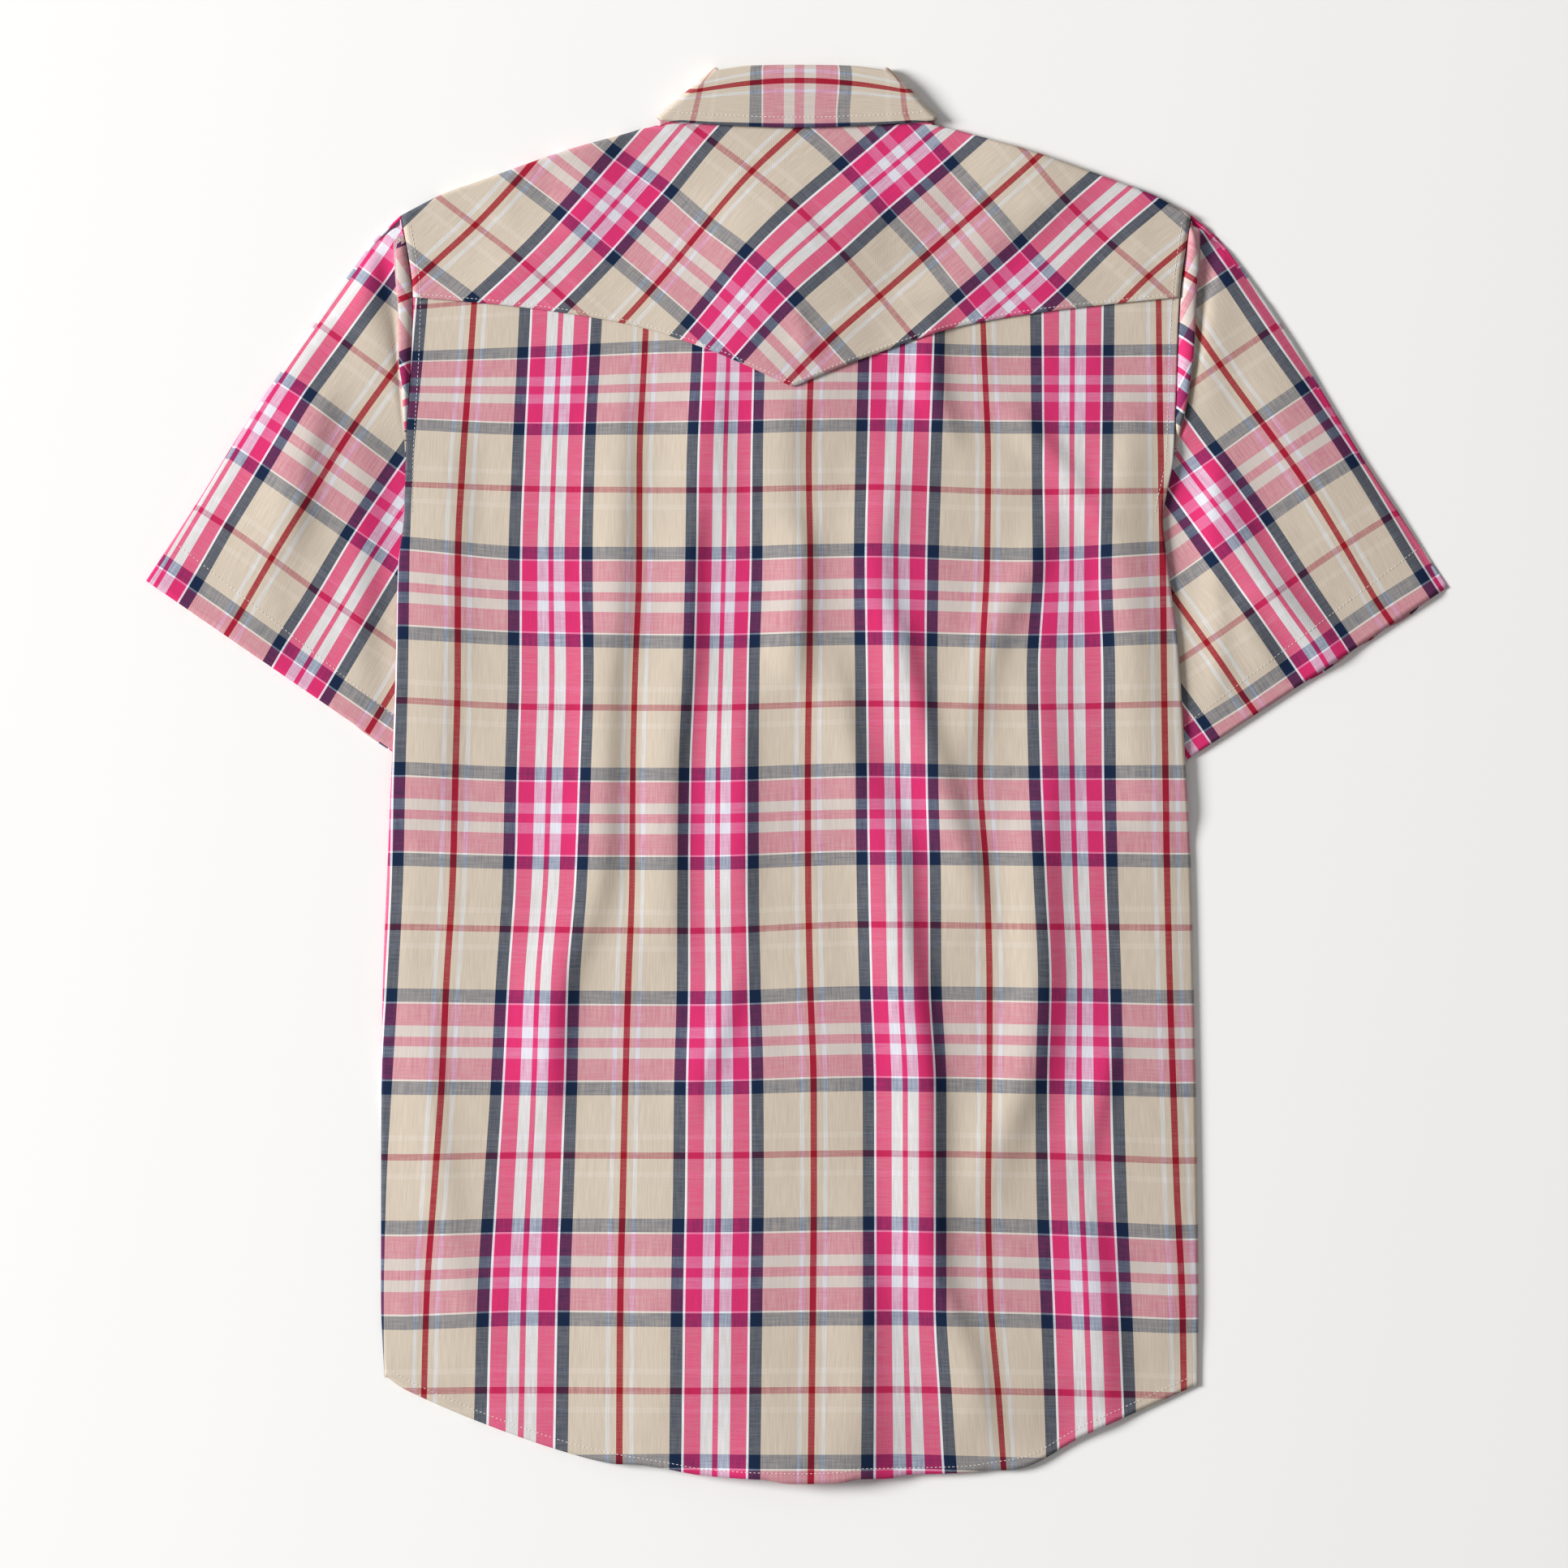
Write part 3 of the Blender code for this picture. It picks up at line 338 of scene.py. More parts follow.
BODY_WARP = make_rows(
    WarpRow,
    (-360, (-240.5, -215.2, -182.7, -135, -102.3, -70.3, -24.1, 8, 39.8, 85.7, 115.5, 144.6,
            191.2, 222.3)),
    (-300, (-240.6, -213.3, -181, -133.9, -101.8, -69.6, -23.4, 8.7, 40.3, 82.4, 110.6, 142.4,
            188.7, 221)),
    (-240, (-239.6, -209, -177.6, -131.7, -100.4, -68.5, -22.6, 9.2, 40.3, 82.4, 109.3, 140.2,
            186, 218)),
    (-180, (-236.5, -204.8, -173.6, -129.7, -99, -67.9, -22.8, 9.1, 40.2, 82.5, 110.1, 139.4,
            184.3, 215.9)),
    (-120, (-232.8, -202, -170.5, -128.2, -97.3, -66.5, -24.3, 7.1, 38.2, 79.6, 110.2, 140.8,
            183.1, 213.9)),
    (-60, (-229.9, -198.4, -166.7, -123.6, -95.1, -66.4, -25.3, 6, 36.8, 79.4, 108.5, 138.2,
           181.1, 212.4)),
    (0, (-228.5, -196.8, -165.3, -121.4, -94.7, -65.7, -25.4, 5.8, 36.1, 77.9, 104.8, 135.6,
         179.8, 211.3)),
    (60, (-226.9, -195.5, -163.7, -119.8, -93.3, -63.3, -24.8, 6.6, 35.7, 77.4, 105.8, 134.4,
          179.4, 210.4)),
    (120, (-226.1, -195.4, -163.4, -120.6, -91.1, -61.8, -23.1, 7.1, 35, 78, 108.7, 137.7, 177.6,
           209.8)),
    (180, (-223.8, -192.6, -161.3, -119.3, -90.9, -60.9, -22.7, 6.3, 36.1, 79.7, 109.4, 137.2,
           178.3, 208.7)),
    (240, (-218.3, -188.1, -158.4, -116.3, -88, -58.1, -21.5, 7.8, 37.5, 81.5, 107.1, 136.7, 179,
           207.9)),
)
WEFT_COLUMNS = (-225, -150, -60, 40, 130, 215)
BODY_WEFT = make_rows(
    WeftLine, (4.7922, (-398, -396, -394.3, -394.5, -397, -400)),
    (4.5, (-355, -354, -353.8, -353.1, -354.7, -357.5)),
    (4.2078, (-315.8, -313.1, -313.2, -312.2, -314.1, -317.6)),
    (3.7922, (-260.6, -259, -258.8, -257.5, -259.4, -263)),
    (3.5, (-220.3, -219, -218.8, -217.6, -218.9, -222.2)),
    (3.2078, (-180.5, -180.8, -180.4, -178.1, -179.5, -181.9)),
    (2.7922, (-126.9, -127.8, -128.2, -125.4, -126.1, -127.9)),
    (2.5, (-87.8, -89.2, -89.9, -86.2, -87.4, -88.2)),
    (2.2078, (-49, -51, -51.3, -48.4, -48.9, -50)), (1.7922, (3.4, 0.4, 0.1, 2.8, 1.4, 1.6)),
    (1.5, (42.5, 38.7, 38.1, 40.6, 38.6, 40.4)), (1.2078, (81.2, 77.3, 75.8, 77.8, 75.9, 78.6)),
    (0.7922, (133.2, 127.2, 126.9, 129, 126.6, 131)), (0.5, (166.7, 164, 163, 164.8, 162.2, 163)),
    (0.2078, (201.1, 198.1, 198.5, 200.2, 199, 198.8)),
    (-0.2078, (240.5, 242.8, 246, 245, 243.4, 244.2)),
)
YOKE_MARKS = make_rows(
    Mark, (-211.7, 291.1, -1, -0.7922), (-185.5, 315.4, -1, -0.5), (-161.7, 340.7, -1, -0.2078),
    (-187.4, 273, -0.7, -0.7922), (-137.4, 322.1, -0.7, -0.2078), (-106.4, 358.3, -0.7, 0.2078),
    (-130.8, 270.2, -0.3, -0.5), (-106, 295.9, -0.3, -0.2078), (-72.3, 334.3, -0.3, 0.2078),
    (-84.3, 277.6, 0, -0.2078), (-52, 316.2, 0, 0.2078), (-26.4, 346.4, 0, 0.5),
    (-63.3, 259.3, 0.3, -0.2078), (-30.3, 299.9, 0.3, 0.2078), (24.4, 350.9, 0.3, 0.7922),
    (-0.9, 272.1, 0.7, 0.2078), (27.3, 296.6, 0.7, 0.5), (52.2, 319.5, 0.7, 0.7922),
    (88.5, 350.7, 0.7, 1.2078), (19.4, 250.1, 1, 0.2078), (73.1, 297.2, 1, 0.7922),
    (135.2, 352.1, 1, 1.5), (91.2, 274.1, 1.3, 0.7922), (153.3, 330.2, 1.3, 1.5),
    (154.8, 277.8, 1.7, 1.2078), (209.5, 328.3, 1.7, 1.7922), (201.5, 285.9, 2, 1.5),
)
LEFT_SLEEVE_MARKS = make_rows(
    Mark, (-253.6, 288.4, 0.5, 0.2078), (-295.8, 228.3, 0.5, 0.7922), (-342.9, 151.9, 0.5, 1.5),
    (-361.9, 120.9, 0.5, 1.7922), (-237.5, 276.2, 0.7, 0.2078), (-280, 218.1, 0.7, 0.7922),
    (-326.8, 141.8, 0.7, 1.5), (-234.5, 228.9, 1, 0.5), (-282.7, 155.6, 1, 1.2078),
    (-320.8, 92.4, 1, 1.7922), (-230.9, 181.2, 1.3, 0.7922), (-278.5, 106.7, 1.3, 1.5),
    (-243.4, 128.1, 1.5, 1.2078), (-281.5, 64.4, 1.5, 1.7922), (-298.2, 76.3, 1.3, 1.7922),
    (-240.4, 35.8, 2, 1.7922),
)
RIGHT_SLEEVE_MARKS = make_rows(
    Mark, (246.8, 284.6, 0.7, 0.2078), (289.9, 222, 0.7, 0.7922), (338.8, 147, 0.7, 1.5),
    (359.1, 113.9, 0.7, 1.7922), (242.8, 235.5, 1, 0.5), (294.3, 164.1, 1, 1.2078),
    (334.2, 98.2, 1, 1.7922), (240.6, 187.7, 1.3, 0.7922), (291, 115.5, 1.3, 1.5),
    (254.3, 135.6, 1.5, 1.2078), (298.2, 73.3, 1.5, 1.7922), (237.7, 123.1, 1.7, 1.2078),
    (281.2, 61.5, 1.7, 1.7922), (256.9, 44.5, 2, 1.7922), (234, 30.1, 2.3, 1.7922),
)
LEFT_LIP_MARKS = make_rows(
    Mark, (-225.7, 305, -0.279, 1.146), (-227.6, 274.2, -0.01, 0.994),
    (-222.9, 258.4, 0.159, 0.957), (-229, 237.4, 0.316, 0.818), (-225.2, 214, 0.5, 0.74),
    (-225.2, 190.7, 0.657, 0.636),
)
RIGHT_LIP_MARKS = make_rows(
    Mark, (225.2, 309.7, -0.212, 1.159), (220.6, 281.7, 0.068, 1.078),
    (225.2, 254.2, 0.29, 0.916), (219.2, 229.4, 0.526, 0.861), (222, 207, 0.665, 0.739),
)


# ---------------------------------------------------------------- curves and tables

def ease(at: Array, start: float, end: float) -> Array:
    """Take a smooth step between two places.

    Args:
        at: Places along an axis.
        start: Where the step is 0.
        end: Where the step is 1, larger or smaller than start.

    Returns:
        The step's height at each place.
    """
    share = np.clip((at - start) / (end - start), 0.0, 1.0)
    return share * share * (3.0 - 2.0 * share)


def smooth_through(at: Array, known: Sequence[float], values: Array,
                   corners: Sequence[int] = (), extend: bool = False) -> Array:
    """Read a curve that runs smoothly through known values and never overshoots them.

    Args:
        at: Places to read, one row of them.
        known: Places with a known value, rising.
        values: The known values, or a row of them for each place to read.
        corners: Indices of known places where the curve has a corner.
        extend: Run straight on past both ends instead of staying level.

    Returns:
        The curve's value at each place.
    """
    knots = np.asarray(known, float)
    spots = np.atleast_1d(np.asarray(at, float))
    count = len(knots)
    table = np.broadcast_to(np.asarray(values, float).reshape(count, -1), (count, spots.size))
    slope = np.diff(table, axis=0) / np.diff(knots)[:, None]
    before, after = slope[:-1], slope[1:]
    total = np.where(before * after > 0.0, before + after, 1.0)
    inner = np.where(before * after > 0.0, 2.0 * before * after / total, 0.0)
    arriving = np.concatenate((slope[:1], inner, slope[-1:]))
    leaving = arriving.copy()
    for corner in corners:
        arriving[corner] = slope[max(corner - 1, 0)]
        leaving[corner] = slope[min(corner, count - 2)]
    inside = np.clip(spots, knots[0], knots[-1])
    first = np.clip(np.searchsorted(knots, inside, side="right") - 1, 0, count - 2)
    pick = np.arange(spots.size)
    width = knots[first + 1] - knots[first]
    share = (inside - knots[first]) / width
    rest = 1.0 - share
    curve = (table[first, pick] * (1.0 + 2.0 * share) * rest ** 2
             + leaving[first, pick] * width * share * rest ** 2
             + table[first + 1, pick] * (3.0 - 2.0 * share) * share ** 2
             - arriving[first + 1, pick] * width * rest * share ** 2)
    if extend:
        curve = curve + np.minimum(spots - knots[0], 0.0) * slope[0]
        curve = curve + np.maximum(spots - knots[-1], 0.0) * slope[-1]
    return curve


def read_table(table: Sequence[NamedTuple], key: str, at: Array, name: str) -> Array:
    """Read one column of a table where another column has given values.

    Args:
        table: Rows in rising order of the key column.
        key: Name of the column that at refers to.
        at: Values of the key column.
        name: Name of the column to read.

    Returns:
        The column's value at each place, smooth but for the table's corners.
    """
    corners = [index for index, row in enumerate(table) if getattr(row, "sharp", False)]
    return smooth_through(at, [getattr(row, key) for row in table],
                          np.array([getattr(row, name) for row in table]), corners)


def edge_y(edge: Sequence[EdgePoint], x: Array) -> Array:
    """Give Y of an edge that runs across the body at places x."""
    return read_table(edge, "x", x, "y")


def fold_height(folds: Sequence[Fold], x: Array, y: Array) -> Array:
    """Add up the height of soft folds.

    Args:
        folds: The folds.
        x: X of the places.
        y: Y of the places.

    Returns:
        The height that the folds add at each place.
    """
    height = np.zeros_like(x)
    for fold in folds:
        levels = [crest.y for crest in fold.crests]
        crest_x = smooth_through(y, levels, np.array([crest.x for crest in fold.crests]))
        peak = smooth_through(y, levels, np.array([crest.height for crest in fold.crests]))
        off = x - crest_x
        height += peak * np.exp(-(off / np.where(off < 0.0, fold.left, fold.right)) ** 2)
    return height


def ripple(x: Array, y: Array, across: float, along: float, seed: float) -> Array:
    """Make the uneven, shallow ripples of cloth that was smoothed out by hand.

    Args:
        x: X of the places.
        y: Y of the places.
        across: Size of a ripple along X.
        along: Size of a ripple along Y.
        seed: Picks one pattern of ripples.

    Returns:
        A height from about -1 to 1 at each place.
    """
    return np.array([noise.noise((a / across, b / along, seed)) for a, b in zip(x, y)])


def add_bend(turn: Array, reach: Array) -> tuple[Array, Array]:
    """Bend cloth round a half-round fold.

    Args:
        turn: 0 where the fold leaves the upper layer, 1 where it joins the lower one.
        reach: How far the fold bulges past its tangent.

    Returns:
        The offset past the tangent, and the share of height that is left.
    """
    angle = math.pi * turn
    return reach * np.sin(angle), (1.0 + np.cos(angle)) / 2.0


@dataclass
class Grain:
    """How the woven cloth lies on a piece, carried smoothly between marked crossings."""
    marks: Sequence[Mark]
    slack: float = 40.0       # how freely the cloth passes a mark, in square millimetres

    def __post_init__(self) -> None:
        """Fit a thin plate to the marks."""
        self.places = np.array([(mark.x, mark.y) for mark in self.marks])
        count = len(self.places)
        plane = np.hstack((np.ones((count, 1)), self.places))
        pull = self.bend(self.places) + self.slack * np.eye(count)
        system = np.block([[pull, plane], [plane.T, np.zeros((3, 3))]])
        aims = np.array([(mark.u, mark.v) for mark in self.marks])
        self.weights = np.linalg.solve(system, np.vstack((aims, np.zeros((3, 2)))))

    def bend(self, points: Array) -> Array:
        """Give the plate's bend at points for a pull at each mark.

        Args:
            points: Places, one row each.

        Returns:
            A row for each place with a value for each mark.
        """
        away = np.linalg.norm(points[:, None] - self.places[None], axis=2)
        return np.where(away > 0.0, away ** 2 * np.log(np.maximum(away, 1e-6)), 0.0)

    def read(self, x: Array, y: Array) -> tuple[Array, Array]:
        """Read the cloth's place.

        Args:
            x: X of the places.
            y: Y of the places.

        Returns:
            The warp and weft coordinates in repeats.
        """
        points = np.column_stack((x, y))
        basis = np.hstack((self.bend(points), np.ones((len(points), 1)), points))
        found = basis @ self.weights
        return found[:, 0], found[:, 1]


def read_body_grain(x: Array, y: Array) -> tuple[Array, Array]:
    """Read how the back's cloth lies.

    Args:
        x: X of the places.
        y: Y of the places.

    Returns:
        The warp and weft coordinates in repeats.
    """
    levels = [row.y for row in BODY_WARP]
    lines = np.array(WARP_LINES)
    at_levels = np.array([smooth_through(x, row.lines, lines, extend=True) for row in BODY_WARP])
    u = smooth_through(y, levels, at_levels, extend=True)
    steps = np.array([line.v for line in BODY_WEFT])
    at_columns = np.array([smooth_through(y, [line.heights[column] for line in BODY_WEFT],
                                          steps, extend=True)
                           for column in range(len(WEFT_COLUMNS))])
    return u, smooth_through(x, WEFT_COLUMNS, at_columns)


# ---------------------------------------------------------------- finishes

def to_linear(code: str) -> tuple[float, float, float, float]:
    """Turn an sRGB hex colour to linear light.

    Args:
        code: Six hex digits.

    Returns:
        Red, green, blue and an alpha of 1.
    """
    parts = [int(code[at:at + 2], 16) / 255.0 for at in (0, 2, 4)]
    red, green, blue = (part / 12.92 if part <= 0.04045 else ((part + 0.055) / 1.055) ** 2.4
                        for part in parts)
    return red, green, blue, 1.0


def feed(tree: Tree, node: bpy.types.Node, inputs: dict) -> None:
    """Set a node's inputs.

    Args:
        tree: The node tree.
        node: The node.
        inputs: Input name or number, with its value or the socket that feeds it.
    """
    for name, value in inputs.items():
        if isinstance(value, Socket):
            tree.links.new(value, node.inputs[name])
        else:
            node.inputs[name].default_value = value


def add_node(tree: Tree, kind: str, inputs: dict, output: int | str = 0,
             **settings: object) -> Socket:
    """Add a shader node with its settings and its inputs.

    Args:
        tree: The node tree.
        kind: The node's type, without the ShaderNode that all of them start with.
        inputs: Input name or number, with its value or the socket that feeds it.
        output: Name or number of the output to give back.
        **settings: The node's own properties.

    Returns:
        The output.
    """
    node = tree.nodes.new(f"ShaderNode{kind}")
    for name, value in settings.items():
        setattr(node, name, value)
    feed(tree, node, inputs)
    return node.outputs[output]


def add_pattern(tree: Tree, kind: str, size: float, **others: object) -> Socket:
    """Add a texture that is fixed to the object.

    Args:
        tree: The node tree.
        kind: The texture's type.
        size: Millimetres of the object in one unit of the texture.
        **others: Its detail and distortion, if any.

    Returns:
        The texture's value from 0 to 1.
    """
    inputs = {"Vector": add_node(tree, "TexCoord", {}, "Object"), "Scale": 1.0 / (size * METRES)}
    return add_node(tree, kind, inputs | others, "Fac")


@dataclass(frozen=True)
class Finish:
    """What all finishes share: each one feeds a Principled BSDF."""

    def inputs(self, tree: Tree) -> dict:
        """Draw the finish and give the shader's inputs; each finish has its own."""
        raise NotImplementedError

    def make(self, name: str) -> Material:
        """Make a material of this finish.

        Args:
            name: The material's name.

        Returns:
            The material.
        """
        material = bpy.data.materials.new(name)
        material.use_nodes = True
        tree = material.node_tree
        feed(tree, tree.nodes["Principled BSDF"], self.inputs(tree))
        return material


@dataclass(frozen=True)
class MadrasShirting(Finish):
    """Yarn-dyed cotton plaid in plain weave, washed soft.

    Each stripe mixes where warp and weft cross, so the eye sees heathered squares, and
    uneven yarns leave fine streaks both ways. The face is matt with a faint fuzz.
    """
    roughness: float = 0.86
    sheen: float = 0.02
    sheen_roughness: float = 0.5
    specular: float = 0.08
    # Real threads lie 0.35 mm apart. They are drawn this coarse so that they show.
    thread: float = 0.8
    slub_length: float = 14.0     # millimetres of yarn between thick places
    heather: float = 0.34         # how far a slub shifts the mix of warp and weft
    slub_range: Pair = (0.3, 0.7)
    fading: Pair = (0.93, 1.07)   # how much a thin and a thick place darken or lighten
    relief: float = 0.06          # millimetres from a thread's top to the gaps
    relief_strength: float = 0.6
    eye: float = 2.2              # exponent between lightness as seen and light

    def stripes(self, tree: Tree, sett: Sequence[Band], place: Socket) -> tuple[Socket, Socket]:
        """Lay a sett's stripes along one repeat.

        Args:
            tree: The material's tree.
            sett: The stripes in order.
            place: The place in repeats.

        Returns:
            The yarn's colour and its share of the face.
        """
        within = add_node(tree, "Math", {0: place}, operation="FRACT")
        node = add_node(tree, "ValToRGB", {0: within}).node
        ramp = node.color_ramp
        ramp.interpolation = "CONSTANT"
        repeat = sum(band.width for band in sett)
        start = 0.0
        for number, band in enumerate(sett):
            fresh = number >= len(ramp.elements)
            stop = ramp.elements.new(start / repeat) if fresh else ramp.elements[number]
            stop.position = start / repeat
            stop.color = to_linear(YARNS[band.yarn])[:3] + (band.cover,)
            start += band.width
        return node.outputs["Color"], node.outputs["Alpha"]

    def streaks(self, tree: Tree, cloth: Socket, scale: tuple[float, float, float]) -> Socket:
        """Draw the thick and thin places of one set of yarns.

        Args:
            tree: The material's tree.
            cloth: The place on the cloth in millimetres.
            scale: Yarns across and slubs along, to the millimetre.

        Returns:
            A value round 0.5.
        """
        spread = add_node(tree, "VectorMath", {0: cloth, 1: scale}, operation="MULTIPLY")
        return add_node(tree, "TexNoise", {"Vector": spread, "Scale": 1.0, "Detail": 2.0}, "Fac")

    def inputs(self, tree: Tree) -> dict:
        """Weave the two setts.

        Args:
            tree: The material's tree.

        Returns:
            The shader's inputs.
        """
        grain = add_node(tree, "UVMap", {}, uv_map=GRAIN)
        cloth = add_node(tree, "VectorMath", {0: grain, 1: (WARP_REPEAT, WEFT_REPEAT, 0.0)},
                         operation="MULTIPLY")
        split = add_node(tree, "SeparateXYZ", {0: grain}).node
        warp, warp_cover = self.stripes(tree, WARP_SETT, split.outputs[0])
        weft, _ = self.stripes(tree, WEFT_SETT, split.outputs[1])
        across, along = 1.0 / self.thread, 1.0 / self.slub_length
        warp_slubs = self.streaks(tree, cloth, (across, along, 0.0))
        weft_slubs = self.streaks(tree, cloth, (along, across, 0.0))
        slubs = add_node(tree, "Math", {0: warp_slubs, 1: weft_slubs}, operation="SUBTRACT")
        cover = add_node(tree, "Math", {0: slubs, 1: self.heather, 2: warp_cover},
                         operation="MULTIPLY_ADD", use_clamp=True)
        # The eye mixes fine threads by their lightness, so they are mixed as it sees them.
        seen = [add_node(tree, "Gamma", {"Color": yarn, "Gamma": 1.0 / self.eye})
                for yarn in (weft, warp)]
        woven = add_node(tree, "Mix", {0: cover, 6: seen[0], 7: seen[1]}, 2, data_type="RGBA")
        light = add_node(tree, "Gamma", {"Color": woven, "Gamma": self.eye})
        low, high = self.slub_range
        thin, thick = self.fading
        wear = add_node(tree, "MapRange", {0: warp_slubs, 1: low, 2: high, 3: thin, 4: thick})
        tint = add_node(tree, "VectorMath", {0: light, "Scale": wear}, operation="SCALE")
        return {"Base Color": tint, "Normal": self.weave(tree, cloth, slubs),
                "Roughness": self.roughness, "Specular IOR Level": self.specular,
                "Sheen Weight": self.sheen, "Sheen Roughness": self.sheen_roughness}

    def weave(self, tree: Tree, cloth: Socket, slubs: Socket) -> Socket:
        """Raise the plain weave's crossings and slubs.

        Args:
            tree: The material's tree.
            cloth: The place on the cloth in millimetres.
            slubs: Thick places of the yarns.

        Returns:
            The normal to shade with.
        """
        turn = math.pi / self.thread
        turned = add_node(tree, "VectorMath", {0: cloth, 1: (turn, turn, 0.0)},
                          operation="MULTIPLY")
        waves = add_node(tree, "VectorMath", {0: turned}, operation="SINE")
        parts = add_node(tree, "SeparateXYZ", {0: waves}).node.outputs
        over = add_node(tree, "Math", {0: parts[0], 1: parts[1]}, operation="MULTIPLY")
        raised = add_node(tree, "Math", {0: over, 1: 0.5, 2: slubs}, operation="MULTIPLY_ADD")
        return add_node(tree, "Bump", {"Height": raised, "Strength": self.relief_strength,
                                       "Distance": self.relief * METRES})


@dataclass(frozen=True)
class SewingThread(Finish):
    """Spun polyester thread, off-white: a dull strand with the twist of its plies."""
    colour: str = "E9E2DC"
    roughness: float = 0.7
    sheen: float = 0.2
    groove_shade: float = 0.82          # painted shade in the grooves between the plies: how dark it is
    ply: float = 0.35             # millimetres from one ply of the twist to the next
    waves: float = 20.0           # plies that the texture draws in one of its units
    unevenness: float = 2.0

    def inputs(self, tree: Tree) -> dict:
        """Draw the plies, with painted shade in the grooves between them.

        Args:
            tree: The material's tree.

        Returns:
            The shader's inputs.
        """
        twist = add_pattern(tree, "TexWave", self.ply * self.waves, Distortion=self.unevenness)
        twist.node.bands_direction = "DIAGONAL"
        # Painted shade: the grooves between the plies are darkened in the base colour.
        painted_shade = add_node(tree, "MapRange", {0: twist, 3: self.groove_shade, 4: 1.0})
        lit = add_node(tree, "VectorMath", {0: to_linear(self.colour)[:3], "Scale": painted_shade},
                       operation="SCALE")
        return {"Base Color": lit, "Roughness": self.roughness, "Sheen Weight": self.sheen}


@dataclass(frozen=True)
class PearlResin(Finish):
    """Polyester button resin cast with pearl essence: milky, softly swirled, with a gloss."""
    milk: str = "F2EEE6"
    shade: str = "CFC8C6"
    roughness: float = 0.22
    swirl: float = 4.0            # millimetres across one swirl
    detail: float = 3.0
    stir: float = 1.6
    gloss: float = 0.6
    gloss_roughness: float = 0.08

    def inputs(self, tree: Tree) -> dict:
        """Stir the swirls.

        Args:
            tree: The material's tree.

        Returns:
            The shader's inputs.
        """
        clouds = add_pattern(tree, "TexNoise", self.swirl, Detail=self.detail,
                             Distortion=self.stir)
        shade, milk = to_linear(self.shade), to_linear(self.milk)
        mixed = add_node(tree, "Mix", {0: clouds, 6: shade, 7: milk}, 2, data_type="RGBA")
        return {"Base Color": mixed, "Roughness": self.roughness, "Coat Weight": self.gloss,
                "Coat Roughness": self.gloss_roughness}


@dataclass(frozen=True)
class NickelledBrass(Finish):
    """Stamped brass, nickel plated: a bright rim with fine turned lines."""
    colour: str = "C9C6BF"
    roughness: Pair = (0.24, 0.38)    # on and between the turned lines
    line: float = 0.12                # millimetres between turned lines

    def inputs(self, tree: Tree) -> dict:
        """Turn the lines.

        Args:
            tree: The material's tree.

        Returns:
            The shader's inputs.
        """
        lines = add_pattern(tree, "TexNoise", self.line)
        rough = add_node(tree, "MapRange", {0: lines, 3: self.roughness[0], 4: self.roughness[1]})
        return {"Base Color": to_linear(self.colour), "Metallic": 1.0, "Roughness": rough}


@dataclass(frozen=True)
class StudioPaper(Finish):
    """Seamless background paper, near white and matt, with a faint tooth."""
    colour: str = "F7F6F4"
    roughness: float = 0.95
    specular: float = 0.1
    tooth: float = 1.5            # millimetres, drawn coarse so that it shows
    relief: float = 0.02
    relief_strength: float = 0.1

    def inputs(self, tree: Tree) -> dict:
        """Raise the tooth.

        Args:
            tree: The material's tree.

        Returns:
            The shader's inputs.
        """
        tooth = add_pattern(tree, "TexNoise", self.tooth)
        bump = add_node(tree, "Bump", {"Height": tooth, "Strength": self.relief_strength,
                                       "Distance": self.relief * METRES})
        return {"Base Color": to_linear(self.colour), "Normal": bump,
                "Roughness": self.roughness, "Specular IOR Level": self.specular}


# ---------------------------------------------------------------- meshes

def link_mesh(name: str, shape: bmesh.types.BMesh,
              materials: Sequence[Material]) -> bpy.types.Object:
    """Make a named, smooth object from a bmesh and link it.

    Args:
        name: The object's name.
        shape: The bmesh, freed afterwards.
        materials: Its materials in slot order.

    Returns:
        The object.
    """
    mesh = bpy.data.meshes.new(name)
    shape.to_mesh(mesh)
    shape.free()
    mesh.shade_smooth()
    for material in materials:
        mesh.materials.append(material)
    piece = bpy.data.objects.new(name, mesh)
    bpy.context.scene.collection.objects.link(piece)
    return piece


def cut_cloth(name: str, columns: int, rows: int, lay: Lay, material: Material,
              closed: bool = False, wall: float = 0.8) -> bpy.types.Object:
    """Make one cloth piece from a grid and give it its wall.

    Args:
        name: The piece's name.
        columns: Cells of the grid across.
        rows: Cells of the grid along.
        lay: Gives the places of grid points from their column and row numbers.
        material: The cloth's material.
        closed: Whether the grid meets itself as a tube.
        wall: Thickness of the cloth.

    Returns:
        The object.
    """
    shape = bmesh.new()
    bmesh.ops.create_grid(shape, x_segments=columns, y_segments=rows, size=0.5)
    shape.verts.index_update()
    spots = np.array([vertex.co for vertex in shape.verts])
    column = np.rint((spots[:, 0] + 0.5) * columns).astype(int)
    row = np.rint((spots[:, 1] + 0.5) * rows).astype(int)
    laid = lay(column, row)
    places = np.column_stack((laid.x, laid.y, laid.z)) * METRES
    grain = shape.loops.layers.uv.new(GRAIN)
    for vertex, place in zip(shape.verts, places):
        vertex.co = place
    for face in shape.faces:
        for loop in face.loops:
            index = loop.vert.index
            loop[grain].uv = (laid.u[index], laid.v[index])
    if closed:
        bmesh.ops.remove_doubles(shape, verts=shape.verts[:], dist=WELD * METRES)
    piece = link_mesh(name, shape, [material])
    thick = piece.modifiers.new("wall", "SOLIDIFY")
    thick.thickness = wall * METRES
    thick.offset = 0.0
    return piece


# ---------------------------------------------------------------- the body's form

